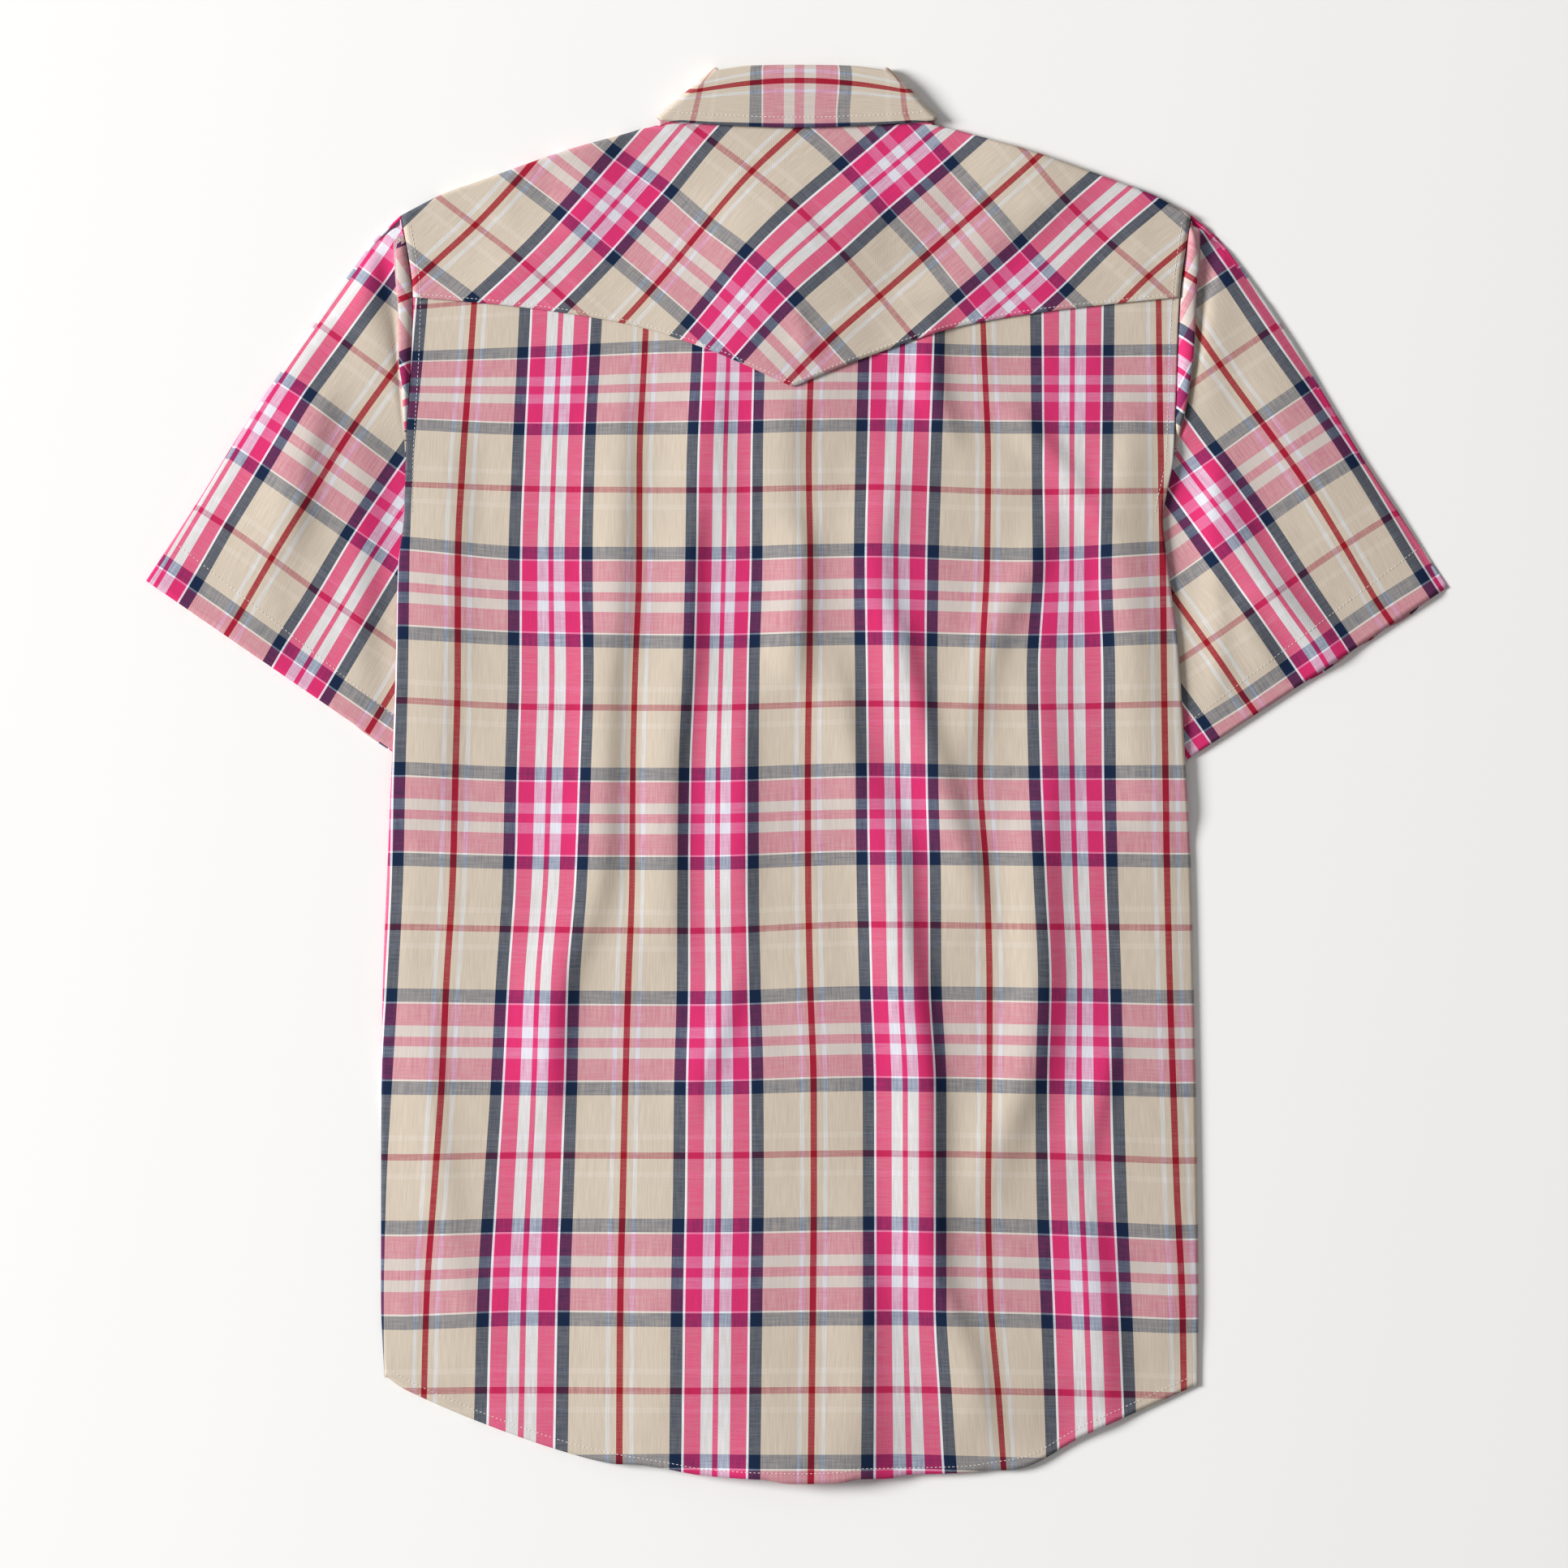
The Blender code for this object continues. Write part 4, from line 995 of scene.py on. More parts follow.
@dataclass(frozen=True)
class BodyForm:
    """How the layers of the body lie over the ground."""
    layer: float = 1.5            # from the middle of one layer to the middle of the next
    ground: float = 0.6           # middle of a layer that lies on the ground
    loft: float = 3.6             # from the middle of the fronts to the middle of the back
    crown: float = 4.5            # how much more that is along the centre
    half_chest: float = 232.0
    side_fold: float = 1.8        # how far a side fold bulges
    fold_end_y: float = 140.0     # above this the side fold narrows to the armhole's corner
    seam_gap: float = 0.3         # between edges that meet at a seam
    hem_drop: float = 0.55        # share of the loft that is lost at the hem
    hem_reach: Step = (50.0, 4.0)
    hem_middle: Step = (60.0, 20.0)       # the middle of the hem keeps its loft
    hem_side_y: float = -344.0
    front_inset: float = 1.5
    shows_left: tuple[Step, Step] = ((-108.0, -90.0), (-4.0, -22.0))      # the fronts' hem
    shows_right: tuple[Step, Step] = ((52.0, 66.0), (124.0, 106.0))
    underarm_y: float = 182.0
    yoke_side_y: float = 274.0
    under_yoke: Step = (38.0, 20.0)       # above the yoke's edge, where the back panel ends
    tip_y: float = 321.3
    tuck_lift: float = 3.0        # by the sleeve that is tucked under the side
    tuck_share: float = 0.6
    tuck_across: Step = (48.0, 24.0)
    tuck_above: Step = (206.0, 185.0)
    tuck_below: Step = (-42.0, -18.0)
    leaf_along: Step = (205.0, 235.0)     # the collar's leaves under the fronts
    leaf_across: Step = (130.0, 98.0)
    cap_lift: float = 1.8
    cap_across: Step = (45.0, 16.0)
    seam_z: float = 4.6           # height of the neck seam
    neck_half: float = 76.0
    neck_along: Step = (318.0, 355.0)
    neck_across: Step = (130.0, 92.0)
    wrap: float = 12.0            # how far the yoke runs on under the shoulders
    folds_inside: Step = (4.0, 30.0)
    ripple_height: float = 0.45
    ripples: tuple[float, float, float] = (26.0, 110.0, 3.1)      # across, along and seed
    wrinkle_share: float = 0.4
    wrinkles: tuple[float, float, float] = (12.0, 30.0, 7.7)
    press: float = 1.4            # how far the pressed side edges bring the back down
    press_width: float = 18.0
    press_top: Step = (202.0, 142.0)      # and where that ends by the armholes
    tuck_spares: float = 0.45     # share of the press that the tucked sleeve takes off
    hem_spares: float = 0.8

    def side_edge(self, side: Side, y: Array) -> Array:
        """Give X of the body's left or right edge at levels y."""
        return read_table(BODY_EDGES, "y", y, side.column)

    def inside_edge(self, x: Array, y: Array) -> Array:
        """Give how far places are inside the nearer side edge."""
        return np.minimum(x - self.side_edge(Side.LEFT, y), self.side_edge(Side.RIGHT, y) - x)

    def tucked(self, x: Array, y: Array) -> Array:
        """Give how far the sleeve that is tucked under the side lifts the body."""
        across = ease(self.inside_edge(x, y), *self.tuck_across)
        return self.tuck_lift * across * ease(y, *self.tuck_above) * ease(y, *self.tuck_below)

    def front_height(self, x: Array, y: Array) -> Array:
        """Find the middle of the fronts, lifted by the collar's leaves and the snaps.

        Args:
            x: X of the places.
            y: Y of the places.

        Returns:
            The height at each place.
        """
        leaves = self.layer * ease(y, *self.leaf_along) * ease(np.abs(x), *self.leaf_across)
        caps = self.cap_lift * ease(np.abs(x), *self.cap_across)
        return self.ground + self.tucked(x, y) + np.maximum(leaves, caps)

    def hem_nearness(self, x: Array, y: Array) -> Array:
        """Give 1 at the hem and 0 well above it."""
        return ease(y - edge_y(HEM, x), *self.hem_reach)

    def front_shows(self, x: Array) -> Array:
        """Find where the fronts' hem shows past the back's.

        Args:
            x: X of the places.

        Returns:
            1 where it shows and 0 elsewhere.
        """
        left, right = (ease(x, *rise) * ease(x, *fall)
                       for rise, fall in (self.shows_left, self.shows_right))
        return left + right

    def back_height(self, x: Array, y: Array) -> Array:
        """Find the middle of the back layer.

        Args:
            x: X of the places.
            y: Y of the places.

        Returns:
            The height at each place.
        """
        beside = 1.0 - ease(np.abs(x), *self.hem_middle)
        loft = self.loft + self.crown * (1.0 - (x / self.half_chest) ** 2) ** 2
        loft = loft * (1.0 - self.hem_drop * self.hem_nearness(x, y) * beside)
        inside = ease(self.inside_edge(x, y), *self.folds_inside)
        folds = fold_height(BACK_FOLDS, x, y)
        folds = folds + self.ripple_height * ripple(x, y, *self.ripples)
        folds = folds + self.wrinkle_share * self.ripple_height * ripple(x, y, *self.wrinkles)
        neck = ease(y, *self.neck_along) * ease(np.abs(x), *self.neck_across)
        lift = self.tuck_share * self.tucked(x, y)
        lying = self.ground + loft + lift + folds * inside - self.pressed(x, y)
        return lying * (1.0 - neck) + self.seam_z * neck

    def pressed(self, x: Array, y: Array) -> Array:
        """Find how far the back is pressed down along its side edges.

        Args:
            x: X of the places.
            y: Y of the places.

        Returns:
            The drop at each place.
        """
        near = 1.0 - ease(self.inside_edge(x, y), 0.0, self.press_width)
        spared = 1.0 - self.tuck_spares * self.tucked(x, y) / self.tuck_lift
        spared = spared * (1.0 - self.hem_spares * self.hem_nearness(x, y))
        return self.press * near * spared * ease(y, *self.press_top)

    def yoke_height(self, x: Array, y: Array) -> Array:
        """Give the middle of the yoke, which lies on the back panel along its edge."""
        above = y - edge_y(YOKE_EDGE, x)
        return self.back_height(x, y) + self.layer * ease(above, *self.under_yoke)

    def body_row(self, row_y: Array, x: Array, inset: Array | float, top_y: Array,
                 top_of_rows: float) -> Array:
        """Lead a crosswise row to follow the hem below and the top edge above.

        Args:
            row_y: Level of the row where it is straight.
            x: X of the places.
            inset: How far inside the hem the lowest row ends.
            top_y: Y of the top edge at x.
            top_of_rows: Level of the highest row.

        Returns:
            Y of the places.
        """
        down = (self.underarm_y - row_y) / (self.underarm_y - self.hem_side_y)
        drop = edge_y(HEM, x) - self.hem_side_y + inset
        up = (row_y - self.underarm_y) / (top_of_rows - self.underarm_y)
        return row_y + np.where(row_y < self.underarm_y, drop * down, (top_y - top_of_rows) * up)


@dataclass(kw_only=True)
class ClothPiece:
    """A cut piece of cloth: its grid, its size before sewing and what it lies on."""
    name: str
    node: str
    columns: int
    rows: int
    flat: Pair                    # metres, as it was cut
    area: float                   # square metres of that cut
    held: str = "laid"
    rests_on: tuple[str, ...] = ()
    closed: bool = False
    wall: float = 0.8
    form: BodyForm = field(default_factory=BodyForm)

    def lay(self, column: Array, row: Array) -> Laid:
        """Give the places of grid points; each piece has its own."""
        raise NotImplementedError

    def build(self, finish: MadrasShirting) -> bpy.types.Object:
        """Make the piece, dress it, attach it to the body and hide its CAD part.

        Args:
            finish: The cloth.

        Returns:
            The object.
        """
        material = finish.make(f"madras_shirting_{self.node}")
        piece = cut_cloth(self.name, self.columns, self.rows, self.lay, material,
                          self.closed, self.wall)
        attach(piece, BODY)
        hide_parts(self.node)
        LOG.info("%s: %d grid points", self.name, (self.columns + 1) * (self.rows + 1))
        return piece


@dataclass(kw_only=True)
class BackPanel(ClothPiece):
    """The back, from the hem to just under the yoke, with its side folds."""
    name: str = "back_panel"
    node: str = "back"
    columns: int = 172
    rows: int = 224
    flat: Pair = (0.480, 0.690)
    area: float = 0.305
    rests_on: tuple[str, ...] = ("left_front", "right_front")
    turn_steps: int = 6
    overlap: float = 8.0
    hem_inset: float = 2.2

    def lay(self, column: Array, row: Array) -> Laid:
        """Lay the flat of the back and carry its sides round to the seams.

        Args:
            column: Column numbers.
            row: Row numbers.

        Returns:
            Places and grain.
        """
        form = self.form
        flat_columns = self.columns - 2 * self.turn_steps
        flat = column - self.turn_steps
        side = np.where(flat < 0, -1.0, np.where(flat > flat_columns, 1.0, 0.0))
        turn = np.maximum(-flat, flat - flat_columns).clip(0) / self.turn_steps
        top_of_rows = form.yoke_side_y + self.overlap
        row_y = form.hem_side_y + (top_of_rows - form.hem_side_y) * row / self.rows
        folded = ease(row_y, form.underarm_y, form.fold_end_y)
        reach = form.side_fold * folded
        rim = (1.0 - folded) * math.pi * form.side_fold
        left = form.side_edge(Side.LEFT, row_y) + reach + rim
        right = form.side_edge(Side.RIGHT, row_y) - reach - rim
        x = left + (right - left) * np.clip(flat / flat_columns, 0.0, 1.0)
        top_y = edge_y(YOKE_EDGE, x) + self.overlap
        y = form.body_row(row_y, x, self.hem_inset * form.front_shows(x), top_y, top_of_rows)
        top = form.back_height(x, y)
        bottom = form.front_height(x, y)
        u, v = read_body_grain(x + side * turn * math.pi * form.side_fold, y)
        past, high = add_bend(turn * folded, reach)
        x = x + side * (past + rim * turn)
        x = x - side * np.where(row_y > form.yoke_side_y, form.seam_gap, 0.0)
        return Laid(x, y, bottom + (top - bottom) * high, u, v)


@dataclass(kw_only=True)
class Yoke(ClothPiece):
    """The pointed yoke, cut on the bias, over the back's top edge and the shoulders."""
    name: str = "pointed_yoke"
    node: str = "back_yoke"
    columns: int = 152
    rows: int = 66
    flat: Pair = (0.456, 0.175)
    area: float = 0.053
    rests_on: tuple[str, ...] = ("back_panel", "left_front", "right_front")
    turn_steps: int = 8
    wrap_steps: int = 6
    neck_margin: float = 1.6
    beside_neck: Step = (-4.0, 4.0)       # past the neck's end: neckline, then shoulder fold
    fold_opens: float = 14.0              # and how soon that fold is whole
    grain: Grain = field(default_factory=lambda: Grain(YOKE_MARKS))

    def side_x(self, level: Array, across: Array) -> Array:
        """Give X at a share of the way between the armhole edges at a level."""
        left = self.form.side_edge(Side.LEFT, level)
        return left + (self.form.side_edge(Side.RIGHT, level) - left) * across

    def fold_line(self, x: Array, share: Array) -> Array:
        """Find Y of the shoulder fold's tangent, or of the neckline where there is none.

        Args:
            x: X of the places.
            share: How much of the shoulder fold is there.

        Returns:
            Y of the line.
        """
        form = self.form
        fold_y = edge_y(SHOULDER, x) - form.side_fold * share
        neck_y = edge_y(NECK_SEAM, x) - form.seam_gap
        start, end = self.beside_neck
        beside = ease(np.abs(x), form.neck_half + start, form.neck_half + end)
        return neck_y + (fold_y - neck_y) * beside

    def lay(self, column: Array, row: Array) -> Laid:
        """Lay the yoke's flat, its shoulder fold and the run on the underside.

        Args:
            column: Column numbers.
            row: Row numbers.

        Returns:
            Places and grain.
        """
        form = self.form
        flat_rows = self.rows - self.turn_steps - self.wrap_steps
        across = column / self.columns
        x_top = SHOULDER[0].x + (SHOULDER[-1].x - SHOULDER[0].x) * across
        share = ease(np.abs(x_top), form.neck_half, form.neck_half + self.fold_opens)
        unturned = 1.0 - share
        rim = unturned * math.pi * form.side_fold
        top_y = self.fold_line(x_top, share) - rim - self.neck_margin * unturned
        climb = np.minimum(row / flat_rows, 1.0)
        tip_y = form.tip_y - form.side_fold
        x = self.side_x(form.yoke_side_y + (tip_y - form.yoke_side_y) * climb, across)
        low_y = edge_y(YOKE_EDGE, x)
        y = low_y + (top_y - low_y) * climb
        top = form.yoke_height(x, y)
        bottom = form.front_height(x, y)
        turn = np.clip((row - flat_rows) / self.turn_steps, 0.0, 1.0)
        past, high = add_bend(turn * share, form.side_fold * share)
        under = np.clip((row - flat_rows - self.turn_steps) / self.wrap_steps, 0.0, 1.0)
        u, v = self.grain.read(x, y + math.pi * form.side_fold * turn + form.wrap * under)
        y = y + past + rim * turn
        run = form.wrap * under * share
        x_under = self.side_x(tip_y - run, across)
        fold_y = np.where(share == 1.0, self.fold_line(x_under, share),
                          self.fold_line(x_top, share))
        y_under = fold_y + self.neck_margin * unturned * (under - 1.0) - run
        x = np.where(under > 0.0, x_under, x)
        y = np.where(under > 0.0, y_under, y)
        return Laid(x, y, bottom + (top - bottom) * high, u, v)


@dataclass(kw_only=True)
class Front(ClothPiece):
    """One front. The left ends at the placket and the right passes over it."""
    columns: int = 60
    rows: int = 130
    flat: Pair = (0.250, 0.740)
    area: float = 0.155
    rests_on: tuple[str, ...] = ("studio_floor",)
    side: Side = Side.LEFT
    inner: float = 0.0            # X of its edge at the centre
    levels: Pair = (-342.0, 308.0)        # Y of the lowest and the highest row
    seam_in: float = 0.6          # past the side fold, so that the back's edge covers it
    shows: float = 0.8            # share of the inset that is given up where it shows
    lap: Step = (58.0, 20.0)      # X over which the right front climbs onto the placket
    folds_beside: Step = (60.0, 80.0)
    folds_inside: Step = (6.0, 30.0)
    grain_shift: float = 0.5      # repeats between its warp and the back's

    def lay(self, column: Array, row: Array) -> Laid:
        """Lay the front from the hem to the shoulder seam.

        Args:
            column: Column numbers.
            row: Row numbers.

        Returns:
            Places and grain.
        """
        form = self.form
        low, high = self.levels
        row_y = low + (high - low) * row / self.rows
        seam = ease(row_y, form.underarm_y, form.fold_end_y) * (form.side_fold + self.seam_in)
        outer = form.side_edge(self.side, row_y) - self.side.value * seam
        x = self.inner + (outer - self.inner) * column / self.columns
        inset = form.front_inset * (1.0 - self.shows * form.front_shows(x))
        y = form.body_row(row_y, x, inset, front_top(x, form), high)
        z = form.front_height(x, y)
        if self.side is Side.RIGHT:
            z = z + form.layer * ease(x, *self.lap)
        clear = ease(np.abs(x), *self.folds_beside)
        clear = clear * ease(form.inside_edge(x, y), *self.folds_inside)
        z = z + fold_height(FRONT_FOLDS, x, y) * clear
        u, v = read_body_grain(x, y)
        return Laid(x, y, z, u + self.grain_shift, v)


def front_top(x: Array, form: BodyForm) -> Array:
    """Find the fronts' top edge: the neckline, then the seam with the yoke.

    Args:
        x: X of the places.
        form: The body.

    Returns:
        Y of the edge.
    """
    seam_y = edge_y(SHOULDER, x) - form.side_fold - form.wrap - form.seam_gap
    neck_y = edge_y(FRONT_NECK, np.abs(x))
    return np.where(np.abs(x) < form.neck_half, np.minimum(neck_y, seam_y), seam_y)


@dataclass(kw_only=True)
class Placket(ClothPiece):
    """The band on the left front's edge that carries the snap caps."""
    name: str = "snap_placket"
    node: str = "placket"
    columns: int = 12
    rows: int = 150
    flat: Pair = (0.032, 0.690)
    area: float = 0.0220
    rests_on: tuple[str, ...] = ("snap_1", "snap_8")
    half: float = 16.0

    def lay(self, column: Array, row: Array) -> Laid:
        """Lay the placket flat under the centre.

        Args:
            column: Column numbers.
            row: Row numbers.

        Returns:
            Places and grain.
        """
        x = -self.half + 2.0 * self.half * column / self.columns
        low = edge_y(HEM, x) + self.form.front_inset
        y = low + (front_top(x, self.form) - low) * row / self.rows
        z = np.full_like(x, self.form.ground + self.form.cap_lift)
        return Laid(x, y, z, *read_body_grain(x, y))


@dataclass(kw_only=True)
class Sleeve(ClothPiece):
    """A short sleeve: a flattened tube with a lip of cloth laid back at the armhole."""
    columns: int = 133            # twice the flat and both folds, and one at the seam
    rows: int = 90
    flat: Pair = (0.400, 0.262)
    area: float = 0.058
    closed: bool = True
    rests_on: tuple[str, ...] = ("studio_floor",)
    side: Side = Side.LEFT
    shoulder: Pair = (0.0, 0.0)
    underarm: Pair = (0.0, 0.0)
    hem_top: Pair = (0.0, 0.0)
    hem_under: Pair = (0.0, 0.0)
    bulge: tuple[Bulge, ...] = ()
    folds: tuple[Fold, ...] = ()
    marks: tuple[Mark, ...] = ()
    lip_marks: tuple[Mark, ...] = ()
    armhole_gap: float = 0.45
    armhole_reach: Step = (0.35, 0.0)     # share of the length that bends with the armhole
    lip_height: float = 1.0
    lip_middle: float = 270.0     # above it the lip fades with Y, below it with its width
    lip_top: float = 308.0
    lip_fade: Step = (0.0, -7.0)  # from lip_top
    lip_width: Step = (0.0, 3.0)
    face_fade: Step = (0.5, -1.5)
    face_width: Step = (0.0, 0.6)
    edge_press: Pair = (2.2, 2.2)    # drop of the top edge, shoulder and hem
    edge_width: float = 10.0
    length: float = 250.0
    fold: float = 1.8
    under_fold: float = 0.75
    turn_steps: int = 6
    turn_out: Step = (0.0, 0.09)  # share of the length where the folds turn to their own way
    armpit_way: Pair = (-0.82, -0.57)    # out of the fold at the underarm
    hem_width: float = 27.0
    hem_drop: float = 0.5
    hem_reach: Step = (60.0, 3.0)
    peek_reach: Step = (215.0, 250.0)
    tucked_in: Step = (30.0, 5.0)         # outside the body's edge
    tucked_above: Step = (206.0, 184.0)
    folds_inside: Step = (2.0, 20.0)
    ripple_height: float = 0.3
    ripples: tuple[float, float, float] = (30.0, 60.0, 5.3)

    def __post_init__(self) -> None:
        """Work out the grain and the steps round the tube."""
        self.grain = Grain(self.marks)
        self.lip_grain = Grain(self.lip_marks)
        flat = (self.columns - 1) // 2 - self.turn_steps
        across = np.linspace(0.0, 1.0, flat + 1)
        turns = np.arange(1, self.turn_steps + 1) / self.turn_steps
        self.upper = np.repeat((1.0, 0.0), flat + 1 + self.turn_steps)
        self.share = np.concatenate((across, np.ones(self.turn_steps), across[::-1],
                                     np.zeros(self.turn_steps)))
        self.turn = np.concatenate((np.zeros(flat + 1), turns, np.zeros(flat + 1), turns))

    def armhole_x(self, y: Array) -> Array:
        """Find X of the armhole edge down to the underarm point.

        Args:
            y: Levels.

        Returns:
            X at each level.
        """
        low = self.form.underarm_y
        edge = self.form.side_edge(self.side, np.maximum(y, low))
        edge = edge + self.side.value * self.armhole_gap
        share = np.clip((low - y) / (low - self.underarm[1]), 0.0, 1.0)
        return edge + (self.underarm[0] - edge) * share

    def point(self, along: Array, share: Array) -> tuple[Array, ...]:
        """Find places on the sleeve's plan.

        Args:
            along: Share of the way from the armhole to the hem.
            share: Share of the way from the top edge to the underarm edge.

        Returns:
            X and Y of the places and of the top edge beside them, and the way from it.
        """
        sign = self.side.value
        run = (self.hem_top[0] - self.shoulder[0], self.hem_top[1] - self.shoulder[1])
        length = math.hypot(*run)
        out = read_table(self.bulge, "along", along, "out")
        top_x = self.shoulder[0] + run[0] * along - run[1] / length * sign * out
        top_y = self.shoulder[1] + run[1] * along + run[0] / length * sign * out
        under_x = self.underarm[0] + (self.hem_under[0] - self.underarm[0]) * along
        under_y = self.underarm[1] + (self.hem_under[1] - self.underarm[1]) * along
        width = np.hypot(under_x - top_x, under_y - top_y)
        share = np.clip(share, self.fold / width, 1.0 - self.under_fold / width)
        hold = ease(along, *self.armhole_reach)
        arm_y = self.shoulder[1] + (self.underarm[1] - self.shoulder[1]) * share
        straight = self.shoulder[0] + (self.underarm[0] - self.shoulder[0]) * share
        x = top_x + (under_x - top_x) * share + (self.armhole_x(arm_y) - straight) * hold
        return x, top_y + (under_y - top_y) * share, top_x, top_y, width * share

    def fold_way(self, along: Array, out: Array) -> tuple[Array, Array]:
        """Find the direction in plan in which an edge fold bulges.

        Args:
            along: Share of the way from the armhole to the hem.
            out: -1 at the top edge, 1 at the underarm edge.

        Returns:
            X and Y of the direction.
        """
        sign = self.side.value
        top = (self.hem_top[0] - self.shoulder[0], self.hem_top[1] - self.shoulder[1])
        under = (self.hem_under[0] - self.underarm[0], self.hem_under[1] - self.underarm[1])
        run_x = np.where(out < 0, top[0], under[0])
        run_y = np.where(out < 0, top[1], under[1])
        length = np.hypot(run_x, run_y)
        square_x, square_y = run_y * sign * out / length, -run_x * sign * out / length
        level_x = np.where(out < 0, 0.0, sign * self.armpit_way[0])
        level_y = np.where(out < 0, 1.0, self.armpit_way[1])
        share = ease(along, *self.turn_out)
        way_x = level_x + (square_x - level_x) * share
        way_y = level_y + (square_y - level_y) * share
        length = np.hypot(way_x, way_y)
        return way_x / length, way_y / length

    def hem_nearness(self, x: Array, y: Array) -> Array:
        """Find how near places are to the sleeve's hem.

        Args:
            x: X of the places.
            y: Y of the places.

        Returns:
            1 at the hem and 0 well inside it.
        """
        run_x, run_y = self.hem_under[0] - self.hem_top[0], self.hem_under[1] - self.hem_top[1]
        cross = (x - self.hem_top[0]) * run_y - (y - self.hem_top[1]) * run_x
        return ease(np.abs(cross) / math.hypot(run_x, run_y), *self.hem_reach)

    def height(self, x: Array, y: Array, from_edge: Array) -> Array:
        """Find the middle of the sleeve's top layer, without the lip.

        Args:
            x: X of the places.
            y: Y of the places.
            from_edge: How far they are from the top edge.

        Returns:
            The height at each place.
        """
        form = self.form
        level = np.clip(y, BODY_EDGES[0].y, form.tip_y)
        outside = self.side.value * (x - form.side_edge(self.side, level))
        under_body = ease(outside, *self.tucked_in) * ease(y, *self.tucked_above)
        folds = fold_height(self.folds, x, y) * (1.0 - under_body)
        folds = folds + self.ripple_height * ripple(x, y, *self.ripples) * (1.0 - under_body)
        drop = smooth_through(y, (self.hem_top[1], self.shoulder[1]),
                              np.array(self.edge_press[::-1]))
        pressed = drop * (1.0 - ease(from_edge, 0.0, self.edge_width))
        loft = form.loft * (1.0 - self.hem_drop * self.hem_nearness(x, y))
        loft = loft + (2.0 * self.under_fold - loft) * under_body
        return form.ground + loft + folds * ease(from_edge, *self.folds_inside) - pressed

    def lip_share(self, y: Array, lip: Array, fade: Step, width: Step) -> Array:
        """Find how much of the lip is there: it fades out at both of its ends.

        Args:
            y: Y of the places.
            lip: The lip's width there.
            fade: The step at the lip's top, from lip_top.
            width: The step below, over the lip's width.

        Returns:
            The share at each place.
        """
        return np.where(y > self.lip_middle,
                        ease(y, self.lip_top + fade[0], self.lip_top + fade[1]),
                        ease(lip, *width))

    def lay(self, column: Array, row: Array) -> Laid:
        """Lay the tube, with the lip on its upper layer.

        Args:
            column: Column numbers.
            row: Row numbers.

        Returns:
            Places and grain.
        """
        steps = len(CAP_STEPS)
        cap = [np.array(values)[np.minimum(row, steps - 1)] for values in zip(*CAP_STEPS)]
        cap_flat, cap_out, cap_lift, cap_before = cap
        last = CAP_STEPS[-1].flat
        past_cap = last + (self.length - last) * (row - steps + 1) / (self.rows - steps + 1)
        flat = np.where(row < steps, cap_flat, past_cap)
        upper, share, turn = self.upper[column], self.share[column], self.turn[column]
        peek = read_table(PEEKS, "share", share, self.side.column) * (1.0 - upper)
        peek = peek * ease(flat, *self.peek_reach)
        x, y, top_x, top_y, from_edge = self.point((flat + peek) / self.length, share)
        lip = read_table(LIPS, "y", np.clip(y, LIPS[0].y, LIPS[-1].y), self.side.column)
        lip = lip * upper * (row < steps)
        x = x + self.side.value * lip * cap_out
        lift = cap_lift * self.lip_share(y, lip, self.lip_fade, self.lip_width) * self.lip_height
        before = cap_before * (self.lip_share(y, lip, self.face_fade, self.face_width) * upper)
        along = flat / self.length
        top = self.height(x, y, from_edge) + lift
        outer_x, outer_y = self.fold_way(along, np.full_like(along, -1.0))
        arc = math.pi * self.fold
        hidden = (1.0 - upper) * (1.0 - np.where(share == 0.0, turn, 0.0)) * arc
        grain_x = np.where(upper > 0.0, x, 2.0 * top_x - x) + outer_x * hidden
        grain_y = np.where(upper > 0.0, y, 2.0 * top_y - y) + outer_y * hidden
        u, v = self.grain.read(grain_x, grain_y)
        lip_u, lip_v = self.lip_grain.read(x, y)
        u, v = u + (lip_u - u) * before, v + (lip_v - v) * before
        out = np.where(upper > 0.0, 1.0, -1.0)
        past, drop = add_bend(turn, np.where(upper > 0.0, self.under_fold, self.fold))
        way_x, way_y = self.fold_way(along, out)
        high = np.where(turn > 0.0, np.where(upper > 0.0, drop, 1.0 - drop), upper)
        return Laid(x + way_x * past, y + way_y * past,
                    self.form.ground + (top - self.form.ground) * high, u, v)


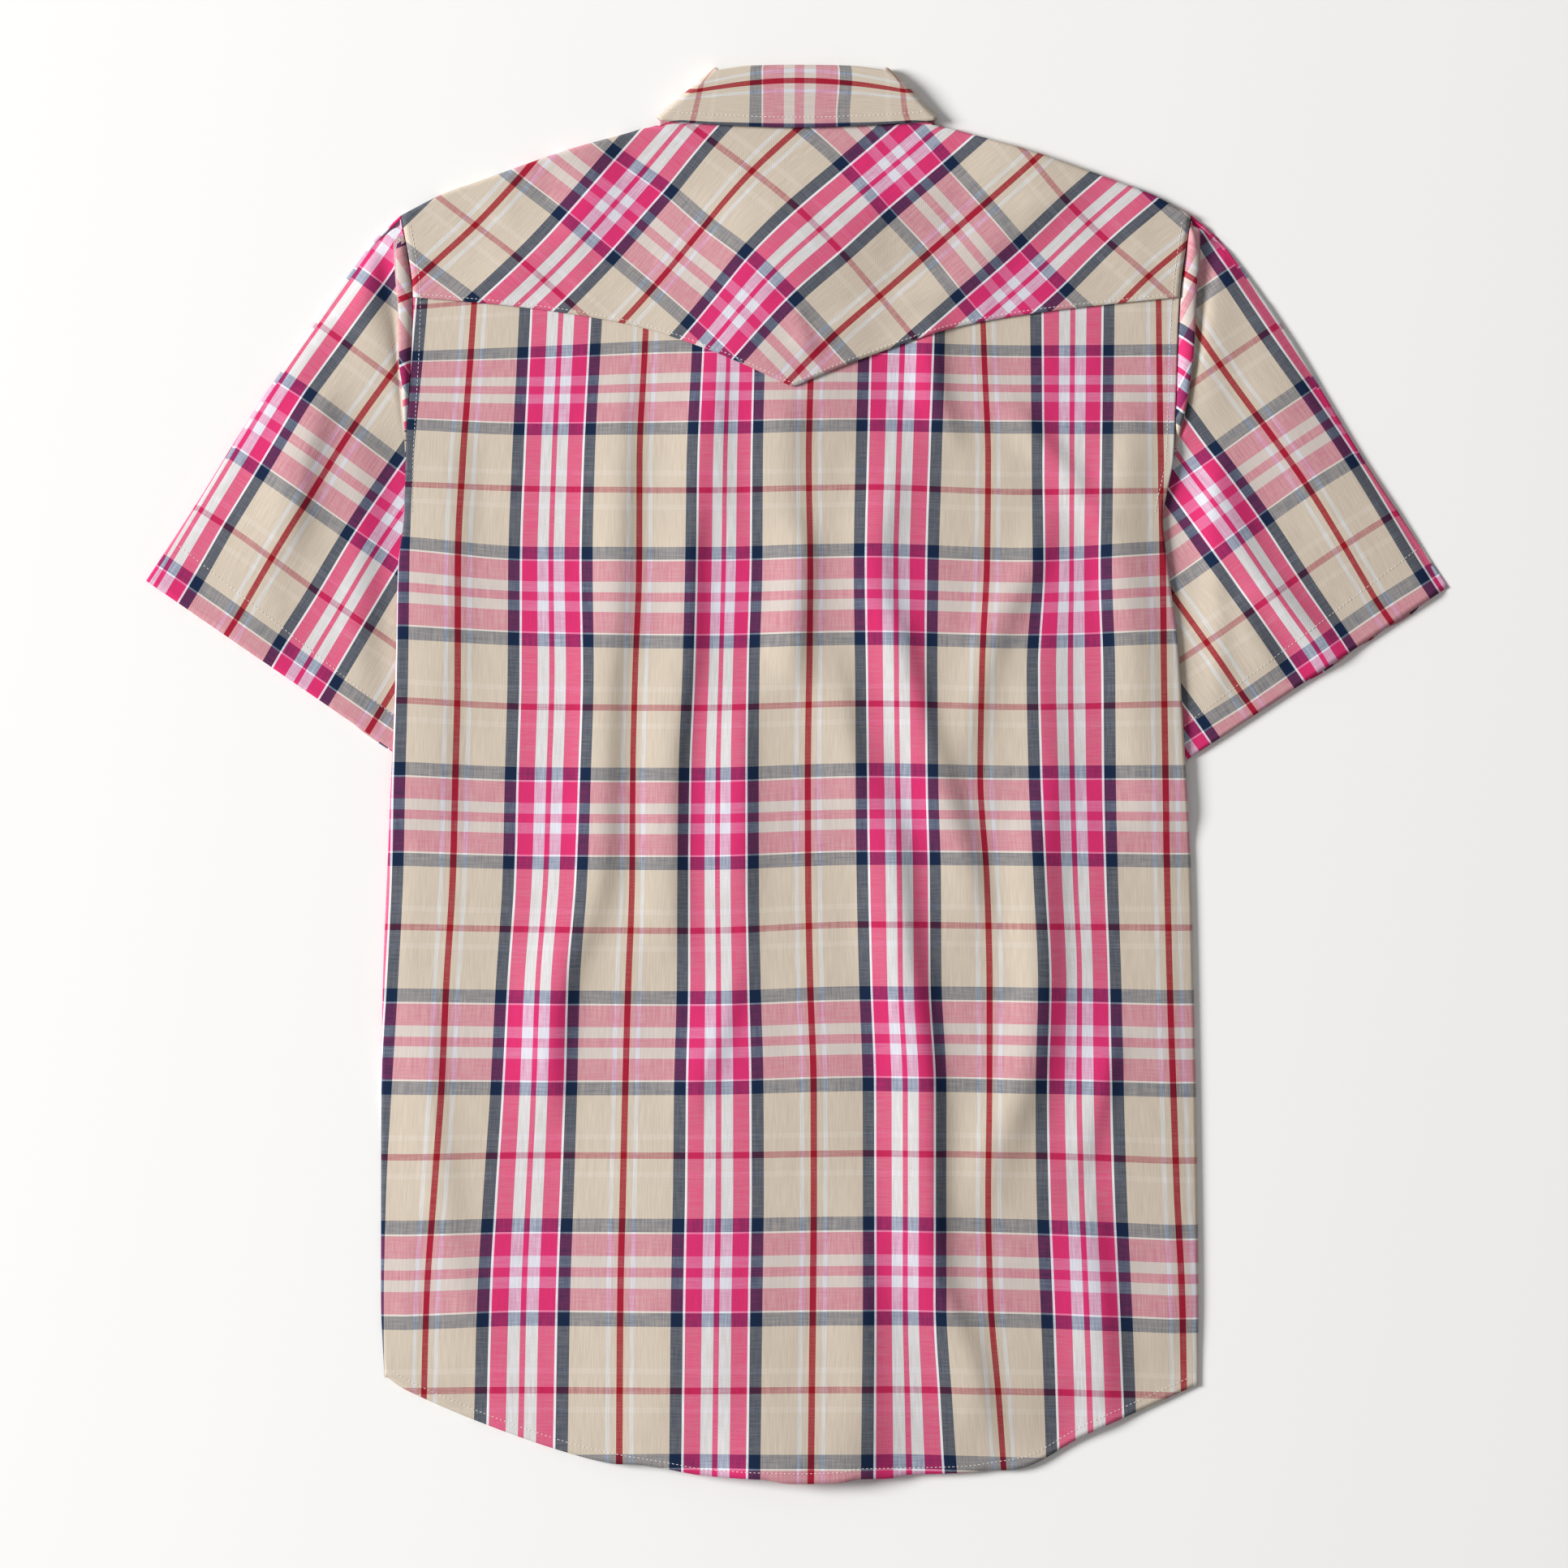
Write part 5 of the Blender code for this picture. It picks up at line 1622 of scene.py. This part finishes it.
@dataclass(kw_only=True)
class CollarBand(ClothPiece):
    """A band round the neck from front end to front end, over both side folds."""
    columns: int = 184
    held: str = "folded"
    back_steps: int = 44
    bend_steps: int = 8
    fall_fold: float = 2.6
    stand_fold: float = 1.2
    lean: float = 4.3             # how much further out the right side stands
    lean_along: Step = (376.0, 402.0)
    stand_top_z: float = 5.5
    caps_across: Step = (40.0, 16.0)
    lap_across: Step = (44.0, 20.0)

    @property
    def half(self) -> int:
        """Give the number of columns from the centre of the back to a front end."""
        return self.columns // 2

    @property
    def run(self) -> int:
        """Give the number of columns of one side of the front."""
        return self.half - self.back_steps - self.bend_steps

    def station(self, column: Array, name: str) -> tuple[Array, Array]:
        """Find a point of each crosswise line of the right half.

        Args:
            column: Column numbers.
            name: Which point of the line: neck, top, roll or edge.

        Returns:
            X and Y of the point.
        """
        step = np.abs(column - self.half)
        back = np.clip(step / self.back_steps, 0.0, 1.0)
        front = np.clip((step - self.back_steps - self.bend_steps) / self.run, 0.0, 1.0)
        found = []
        for axis in (0, 1):
            half = [getattr(row, name)[axis] for row in COLLAR_BACK]
            whole = [value * (1.0, -1.0)[axis == 0] for value in half[:0:-1]] + half
            behind = smooth_through(back, np.linspace(-1.0, 1.0, len(whole)), np.array(whole))
            ahead = smooth_through(front, np.linspace(0.0, 1.0, len(COLLAR_FRONT)),
                                   np.array([getattr(row, name)[axis] for row in COLLAR_FRONT]))
            found.append(np.where(front > 0.0, ahead, behind))
        return found[0], found[1]

    def between(self, column: Array, start: str, end: str, share: Array) -> tuple[Array, ...]:
        """Find places between two points of each crosswise line.

        Args:
            column: Column numbers.
            start: Name of the point where the share is 0.
            end: Name of the point where it is 1.
            share: Share of the way.

        Returns:
            X and Y of the places, and X and Y of the direction to the end.
        """
        start_x, start_y = self.station(column, start)
        end_x, end_y = self.station(column, end)
        run_x, run_y = end_x - start_x, end_y - start_y
        length = np.hypot(run_x, run_y)
        return start_x + run_x * share, start_y + run_y * share, run_x / length, run_y / length

    def side_turn(self, column: Array) -> tuple[Array, Array]:
        """Find the side of columns and their turn round its side fold.

        Args:
            column: Column numbers.

        Returns:
            The side as the sign of X, and the turn from 0 to 1.
        """
        step = column - self.half
        turn = np.clip((np.abs(step) - self.back_steps) / self.bend_steps, 0.0, 1.0)
        return np.where(step < 0, -1.0, 1.0), turn

    def turn_over(self, side: Array, x: Array, y: Array, turn: Array, reach: Array,
                  top: Array, bottom: Array) -> tuple[Array, ...]:
        """Carry points round the side fold, from the top layer to the bottom one.

        Args:
            side: The side of the points, as the sign of X.
            x: X of the points on the right half.
            y: Y of the points.
            turn: The turn round the fold.
            reach: How far the fold bulges.
            top: Height on the top layer.
            bottom: Height on the bottom layer.

        Returns:
            X, Y and Z of the points.
        """
        fold = COLLAR_FRONT[0]
        run = (fold.edge[0] - fold.roll[0], fold.roll[1] - fold.edge[1])
        length = math.hypot(*run)
        leaning = self.lean * ease(y, *self.lean_along) * np.minimum(x / fold.roll[0], 1.0)
        x = x + np.where(side < 0.0, 0.0, leaning)
        past, high = add_bend(turn, reach)
        return (x + run[1] / length * past, y + run[0] / length * past,
                bottom + (top - bottom) * high)

    def front_z(self, side: Array, x: Array) -> Array:
        """Find the middle of the stand at the front, lapped at the centre.

        Args:
            side: The side of the points, as the sign of X.
            x: X of the points on the right half.

        Returns:
            The height at each point.
        """
        form = self.form
        lift = form.layer + (form.cap_lift - form.layer) * ease(x, *self.caps_across)
        lap = np.where(side > 0.0, form.layer * ease(x, *self.lap_across), 0.0)
        return form.ground + lift + lap


@dataclass(kw_only=True)
class CollarFall(CollarBand):
    """The fall: from its outer edge up to the roll and round it."""
    name: str = "collar_fall"
    node: str = "collar"
    rows: int = 30
    flat: Pair = (0.400, 0.075)
    area: float = 0.0225
    rests_on: tuple[str, ...] = ("pointed_yoke", "collar_band")
    roll_steps: int = 8
    roll_depth: float = 0.12      # cloth round the roll, as a share of the fall's depth
    edge_z: float = 6.7
    crest_z: float = 9.0
    crest_at: float = 0.9         # share of the way from the edge to the roll
    rolling: Step = (0.72, 1.0)
    roll_z: float = 8.0
    roll_reach: float = 1.5
    lines: tuple[float, ...] = (-0.5, -0.2078, 0.0, 0.2078, 0.5)    # of the weft, in repeats
    lines_at_edge: tuple[float, ...] = (-60.7, -24.5, 0.8, 26.7, 63.6)
    lines_at_roll: tuple[float, ...] = (-53.8, -24.2, 0.8, 25.3, 54.1)
    column_weft: float = 0.03     # repeats in a column past the side fold
    edge_warp: float = 0.3        # the warp along the fall's edge
    depth_warp: float = 0.382     # and how far it runs on to the roll
    bow_half: float = 58.0        # the warp bows by one unit at this X, and then by column
    bow_column: float = 0.15
    edge_bow: float = 0.006
    depth_bow: float = 0.1
    corner_bow: float = 0.034
    corner_columns: Step = (-8.0, 1.0)    # from the side fold

    def lay(self, column: Array, row: Array) -> Laid:
        """Lay the fall.

        Args:
            column: Column numbers.
            row: Row numbers.

        Returns:
            Places and grain.
        """
        fall_rows = self.rows - self.roll_steps
        side, turn = self.side_turn(column)
        share = np.minimum(row / fall_rows, 1.0)
        x, y, way_x, way_y = self.between(column, "edge", "roll", share)
        rolled = np.clip((row - fall_rows) / self.roll_steps, 0.0, 1.0)
        past, high = add_bend(rolled, self.roll_reach)
        u, v = self.read_grain(column, x * side, share + rolled * self.roll_depth)
        x, y = x + way_x * past, y + way_y * past
        bottom = self.form.ground + (self.front_z(side, x) - self.form.ground) * (1.0 - high)
        rise = np.sin(math.pi * np.minimum(share / self.crest_at, 1.0) / 2.0)
        crest = self.edge_z + (self.crest_z - self.edge_z) * rise
        rolling = ease(share, *self.rolling)
        fall_z = crest * (1.0 - rolling) + self.roll_z * rolling
        top = self.stand_top_z + (fall_z - self.stand_top_z) * high
        reach = self.stand_fold + (self.fall_fold - self.stand_fold) * high
        x, y, z = self.turn_over(side, x, y, turn, reach, top, bottom)
        return Laid(side * x, y, z, u, v)

    def read_grain(self, column: Array, x: Array, share: Array) -> tuple[Array, Array]:
        """Read how the fall's cloth lies: its warp runs along the collar.

        Args:
            column: Column numbers.
            x: X of the places.
            share: Share of the way from the outer edge to the roll.

        Returns:
            The warp and weft coordinates in repeats.
        """
        at_edge, at_roll = (smooth_through(x, places, np.array(self.lines), extend=True)
                            for places in (self.lines_at_edge, self.lines_at_roll))
        v = at_edge + (at_roll - at_edge) * share
        step = column - self.half
        beyond = np.sign(step) * np.maximum(np.abs(step) - self.back_steps, 0.0)
        bow = (x / self.bow_half) ** 2
        bow = bow + self.bow_column * np.minimum(np.abs(beyond), self.bend_steps)
        start, end = self.corner_columns
        corner = ease(np.abs(step), self.back_steps + start, self.back_steps + end)
        corner = self.corner_bow * corner * np.clip(1.0 - share, 0.0, 1.0) ** 3
        edge = self.edge_warp - self.edge_bow * bow - corner
        u = edge - (self.depth_warp + self.depth_bow * bow) * share
        return u, v + beyond * self.column_weft


@dataclass(kw_only=True)
class CollarStand(CollarBand):
    """The stand: the band from the neck seam up to the fall's inner edge."""
    name: str = "collar_band"
    node: str = "collar_stand"
    rows: int = 10
    flat: Pair = (0.410, 0.036)
    area: float = 0.0125
    rests_on: tuple[str, ...] = ("pointed_yoke", "snap_1")
    lap: float = 13.0             # how far the front ends pass the centre
    lap_share: float = 0.375      # share of a front side's columns that are drawn along
    seam_warp: float = 0.1
    depth_warp: float = 0.3
    column_weft: float = 0.019

    def lay(self, column: Array, row: Array) -> Laid:
        """Lay the stand.

        Args:
            column: Column numbers.
            row: Row numbers.

        Returns:
            Places and grain.
        """
        side, turn = self.side_turn(column)
        share = row / self.rows
        x, y, _, _ = self.between(column, "neck", "top", share)
        top = self.form.seam_z + (self.stand_top_z - self.form.seam_z) * share
        reach = np.full_like(x, self.stand_fold)
        x, y, z = self.turn_over(side, x, y, turn, reach, top, self.front_z(side, x))
        step = column - self.half
        x = x - self.lap * ease(np.abs(step), self.half - self.lap_share * self.run, self.half)
        return Laid(side * x, y, z, self.seam_warp - self.depth_warp * share,
                    step * self.column_weft)


# ---------------------------------------------------------------- stitching

@dataclass(frozen=True)
class LockStitch:
    """A row of lock stitches: small strands that dip into the cloth at both ends."""
    pitch: float = 2.5
    length: float = 1.8
    thickness: float = 0.42

    def sew(self, name: str, path: Array, thread: Material, below: bool) -> bpy.types.Object:
        """Sew stitches along a path on a piece's face.

        Args:
            name: The seam's name.
            path: Points along the seam, in millimetres, a row each.
            thread: The thread.
            below: Whether the face points down.

        Returns:
            The stitches as one object.
        """
        steps = np.linalg.norm(np.diff(path, axis=0), axis=1)
        run = np.concatenate(([0.0], np.cumsum(steps)))
        places = np.arange(self.pitch / 2, run[-1], self.pitch)
        shape = bmesh.new()
        up = Vector((0.0, 0.0, -1.0 if below else 1.0))
        size = Matrix.Diagonal((self.length / 2, self.thickness / 2, self.thickness / 2, 1.0))
        for place in places:
            start, end = (Vector([np.interp(place + step, run, values) for values in path.T])
                          for step in (-self.length / 2, self.length / 2))
            way = (end - start).normalized()
            across = up.cross(way).normalized()
            turn = Matrix((way, across, way.cross(across))).transposed().to_4x4()
            middle = Matrix.Translation((start + end) / 2 * METRES)
            bmesh.ops.create_uvsphere(shape, u_segments=6, v_segments=4, radius=METRES,
                                      matrix=middle @ turn @ size)
        stitches = link_mesh(name, shape, [thread])
        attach(stitches, BODY)
        LOG.info("%s: %d stitches", name, len(places))
        return stitches


@dataclass
class Needlework:
    """All the rows of stitches, each on the piece that it holds."""
    form: BodyForm
    sleeves: Sequence[Sleeve]
    fall: CollarFall
    thread: Material
    stitch: LockStitch = LockStitch()
    half_wall: float = 0.45
    yoke: Run = (-218.0, 216.0, 400)          # over X
    yoke_in: float = 2.1
    hem: Run = (-233.0, 225.5, 400)           # over X
    hem_in: float = 6.0
    armhole: Run = (150.0, 317.0, 160)        # over Y
    armhole_in: float = 4.3
    sleeve_hem: Run = (0.012, 0.985, 120)     # over the share of its width
    collar_points: int = 160
    collar_row: float = 3.8
    placket: Run = (-402.0, 283.0, 300)       # over Y
    placket_half: float = 12.5

    def sew(self, name: str, x: Array, y: Array, z: Array, below: bool = False) -> None:
        """Sew one seam.

        Args:
            name: What it holds.
            x: X of its path.
            y: Y of its path.
            z: Middle of the cloth that it is sewn on.
            below: Whether it shows on the cloth's face below.
        """
        face = z + (-self.half_wall if below else self.half_wall)
        path = np.column_stack((x, y, face))
        self.stitch.sew(f"stitches_{name}", path, self.thread, below)

    def sew_all(self) -> None:
        """Sew every seam."""
        self.sew_back()
        self.sew_armholes()
        self.sew_sleeve_hems()
        self.sew_collar()
        self.sew_placket()

    def sew_back(self) -> None:
        """Sew the yoke's edge down on the back, and the shirt-tail hem."""
        x = np.linspace(*self.yoke)
        y = edge_y(YOKE_EDGE, x) + self.yoke_in
        self.sew("yoke", x, y, self.form.yoke_height(x, y))
        x = np.linspace(*self.hem)
        y = edge_y(HEM, x) + self.hem_in
        self.sew("hem", x, y, self.form.back_height(x, y))

    def sew_armholes(self) -> None:
        """Sew both armhole seams on the body's side."""
        y = np.linspace(*self.armhole)
        for side in Side:
            x = self.form.side_edge(side, y) - side.value * self.armhole_in
            z = np.where(y > edge_y(YOKE_EDGE, x), self.form.yoke_height(x, y),
                         self.form.back_height(x, y))
            self.sew(f"armhole_{side.column}", x, y, z)

    def sew_sleeve_hems(self) -> None:
        """Sew both sleeve hems on the upper layer."""
        share = np.linspace(*self.sleeve_hem)
        for sleeve in self.sleeves:
            along = np.full_like(share, 1.0 - sleeve.hem_width / sleeve.length)
            x, y, _, _, from_edge = sleeve.point(along, share)
            self.sew(sleeve.node, x, y, sleeve.height(x, y, from_edge))

    def sew_collar(self) -> None:
        """Sew the fall's edge across the back, from just inside one side fold to the other."""
        fall = self.fall
        reach = fall.back_steps - 1.0
        column = np.linspace(fall.half - reach, fall.half + reach, self.collar_points)
        laid = fall.lay(column, np.full_like(column, self.collar_row))
        self.sew("collar", laid.x, laid.y, laid.z)

    def sew_placket(self) -> None:
        """Sew both edges of the placket on its face below."""
        y = np.linspace(*self.placket)
        z = np.full_like(y, self.form.ground + self.form.cap_lift)
        for side in Side:
            x = np.full_like(y, side.value * self.placket_half)
            self.sew(f"placket_{side.column}", x, y, z, below=True)


# ---------------------------------------------------------------- snaps

@dataclass
class SnapCap:
    """A snap's cap: a pearl centre held by a plated rim, its face down on the ground."""
    number: int
    y: float
    radius: float = 5.5
    rim: float = 0.9
    thick: float = 1.5
    segments: int = 40
    dish: tuple[Pair, ...] = ((0.0, 0.05), (0.5, 0.1), (0.85, 0.24), (1.0, 0.42))
    bead: tuple[Pair, ...] = ((0.12, 0.3), (0.45, 0.04), (0.78, 0.2), (0.9, 0.6))

    def build(self, pearl: Material, plate: Material) -> bpy.types.Object:
        """Spin the cap's section, dress it and put it in its CAD node's place.

        Args:
            pearl: The centre's material.
            plate: The rim's material.

        Returns:
            The object.
        """
        inner = self.radius - self.rim
        section = [(inner * share, height) for share, height in self.dish]
        section += [(inner + out, height) for out, height in self.bead]
        section += [(self.radius, self.thick), (0.0, self.thick)]
        centre = Vector((0.0, self.y * METRES, 0.0))
        shape = bmesh.new()
        verts = [shape.verts.new(centre + Vector((radius, 0.0, height)) * METRES)
                 for radius, height in section]
        edges = [shape.edges.new(pair) for pair in zip(verts, verts[1:])]
        bmesh.ops.spin(shape, geom=verts + edges, cent=centre, axis=(0.0, 0.0, 1.0),
                       angle=2.0 * math.pi, steps=self.segments, use_merge=True)
        bmesh.ops.remove_doubles(shape, verts=shape.verts[:], dist=WELD * METRES)
        bmesh.ops.recalc_face_normals(shape, faces=shape.faces[:])
        wall_z = self.bead[-1][1] * METRES
        for face in shape.faces:
            middle = face.calc_center_median() - centre
            outside = math.hypot(middle.x, middle.y) > inner * METRES
            face.material_index = 1 if outside or middle.z > wall_z else 0
        name = f"snap_cap_{self.number}"
        cap = link_mesh(name, shape, [pearl, plate])
        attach(cap, BODY)
        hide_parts(f"snap_{self.number}")
        LOG.info("%s at y %.0f mm", name, self.y)
        return cap


# ---------------------------------------------------------------- studio

@dataclass
class Studio:
    """A paper floor, one soft light from the left and a long lens straight above."""
    floor_half: float = 3.0           # metres
    centre: Pair = (-0.0077, -0.00584)
    view_width: float = 0.90186       # metres from side to side of the view
    distance: float = 3.0
    cloth_z: float = 0.004
    sensor: float = 36.0
    clip: float = 20.0                # metres, well past the floor
    key_elevation: float = 28.0       # degrees
    key_azimuth: float = 170.0        # degrees from +X, turned to +Y
    key_share: float = 0.7
    key_distance: float = 9.0         # near enough to fall off across the shirt
    key_size: float = 3.4

    def build(self) -> None:
        """Lay the floor, hang the light and set the camera."""
        self.lay_floor()
        self.hang_light()
        self.set_camera()

    def lay_floor(self) -> None:
        """Lay the paper."""
        shape = bmesh.new()
        bmesh.ops.create_grid(shape, x_segments=1, y_segments=1, size=self.floor_half)
        floor = link_mesh("studio_floor", shape, [StudioPaper().make("background_paper")])

    def hang_light(self) -> None:
        """Hang the key light and fill the room so that a white face reads as white."""
        elevation, azimuth = math.radians(self.key_elevation), math.radians(self.key_azimuth)
        lamp = bpy.data.lights.new("soft_key", "AREA")
        lamp.shape = "DISK"
        lamp.size = self.key_size
        lamp.energy = self.key_share * (math.pi * self.key_distance) ** 2 / math.sin(elevation)
        key = bpy.data.objects.new("soft_key", lamp)
        toward = Vector((math.cos(azimuth) * math.cos(elevation),
                         math.sin(azimuth) * math.cos(elevation), math.sin(elevation)))
        key.rotation_mode = "QUATERNION"
        key.rotation_quaternion = toward.to_track_quat("Z", "Y")
        key.location = toward * self.key_distance
        bpy.context.scene.collection.objects.link(key)
        world = bpy.data.worlds.new("studio")
        world.use_nodes = True
        fill = world.node_tree.nodes["Background"]
        fill.inputs["Color"].default_value = (1.0, 1.0, 1.0, 1.0)
        fill.inputs["Strength"].default_value = 1.0 - self.key_share
        bpy.context.scene.world = world
        bpy.context.scene.view_settings.view_transform = "Standard"

    def set_camera(self) -> None:
        """Hang the camera over the shirt's middle, looking straight down."""
        lens = bpy.data.cameras.new("overhead")
        lens.sensor_width = self.sensor
        lens.lens = self.sensor * self.distance / self.view_width
        lens.clip_end = self.clip
        camera = bpy.data.objects.new("overhead", lens)
        camera.location = (*self.centre, self.distance + self.cloth_z)
        bpy.context.scene.collection.objects.link(camera)
        bpy.context.scene.camera = camera


def make_sleeves() -> list[Sleeve]:
    """Describe both sleeves with their outlines, folds and grain.

    Returns:
        The left sleeve and the right one.
    """
    left = Sleeve(name="left_sleeve", node="sleeve_left", side=Side.LEFT,
                  shoulder=(-227.8, 321.3), underarm=(-211.0, 170.0), hem_top=(-374.6, 110.9),
                  hem_under=(-214.5, 0.7), bulge=LEFT_BULGE, folds=LEFT_SLEEVE_FOLDS,
                  marks=LEFT_SLEEVE_MARKS, lip_marks=LEFT_LIP_MARKS, edge_press=(2.2, 0.6))
    right = Sleeve(name="right_sleeve", node="sleeve_right", side=Side.RIGHT,
                   shoulder=(226.2, 321.3), underarm=(200.0, 170.0), hem_top=(374.6, 107.6),
                   hem_under=(208.0, -2.6), bulge=RIGHT_BULGE, folds=RIGHT_SLEEVE_FOLDS,
                   marks=RIGHT_SLEEVE_MARKS, lip_marks=RIGHT_LIP_MARKS, lip_top=315.5,
                   lip_height=1.6)
    return [left, right]


def main() -> None:
    """Build the studio and the shirt, piece by piece."""
    logging.basicConfig(level=logging.INFO, format="%(name)s: %(message)s")
    Studio().build()
    cloth = MadrasShirting()
    sleeves = make_sleeves()
    fall = CollarFall()
    fronts = [Front(name="left_front", node="front_left", side=Side.LEFT, inner=-16.3),
              Front(name="right_front", node="front_right", side=Side.RIGHT, inner=-12.0,
                    rests_on=("studio_floor", "snap_placket"))]
    for piece in (BackPanel(), Yoke(), *fronts, Placket(), *sleeves, fall, CollarStand()):
        piece.build(cloth)
    thread = SewingThread().make("sewing_thread")
    Needlework(BodyForm(), sleeves, fall, thread).sew_all()
    pearl, plate = PearlResin().make("pearl_resin"), NickelledBrass().make("nickelled_brass")
    for number, level in enumerate(SNAP_LEVELS, start=1):
        SnapCap(number, level).build(pearl, plate)


if __name__ == "__main__":
    main()
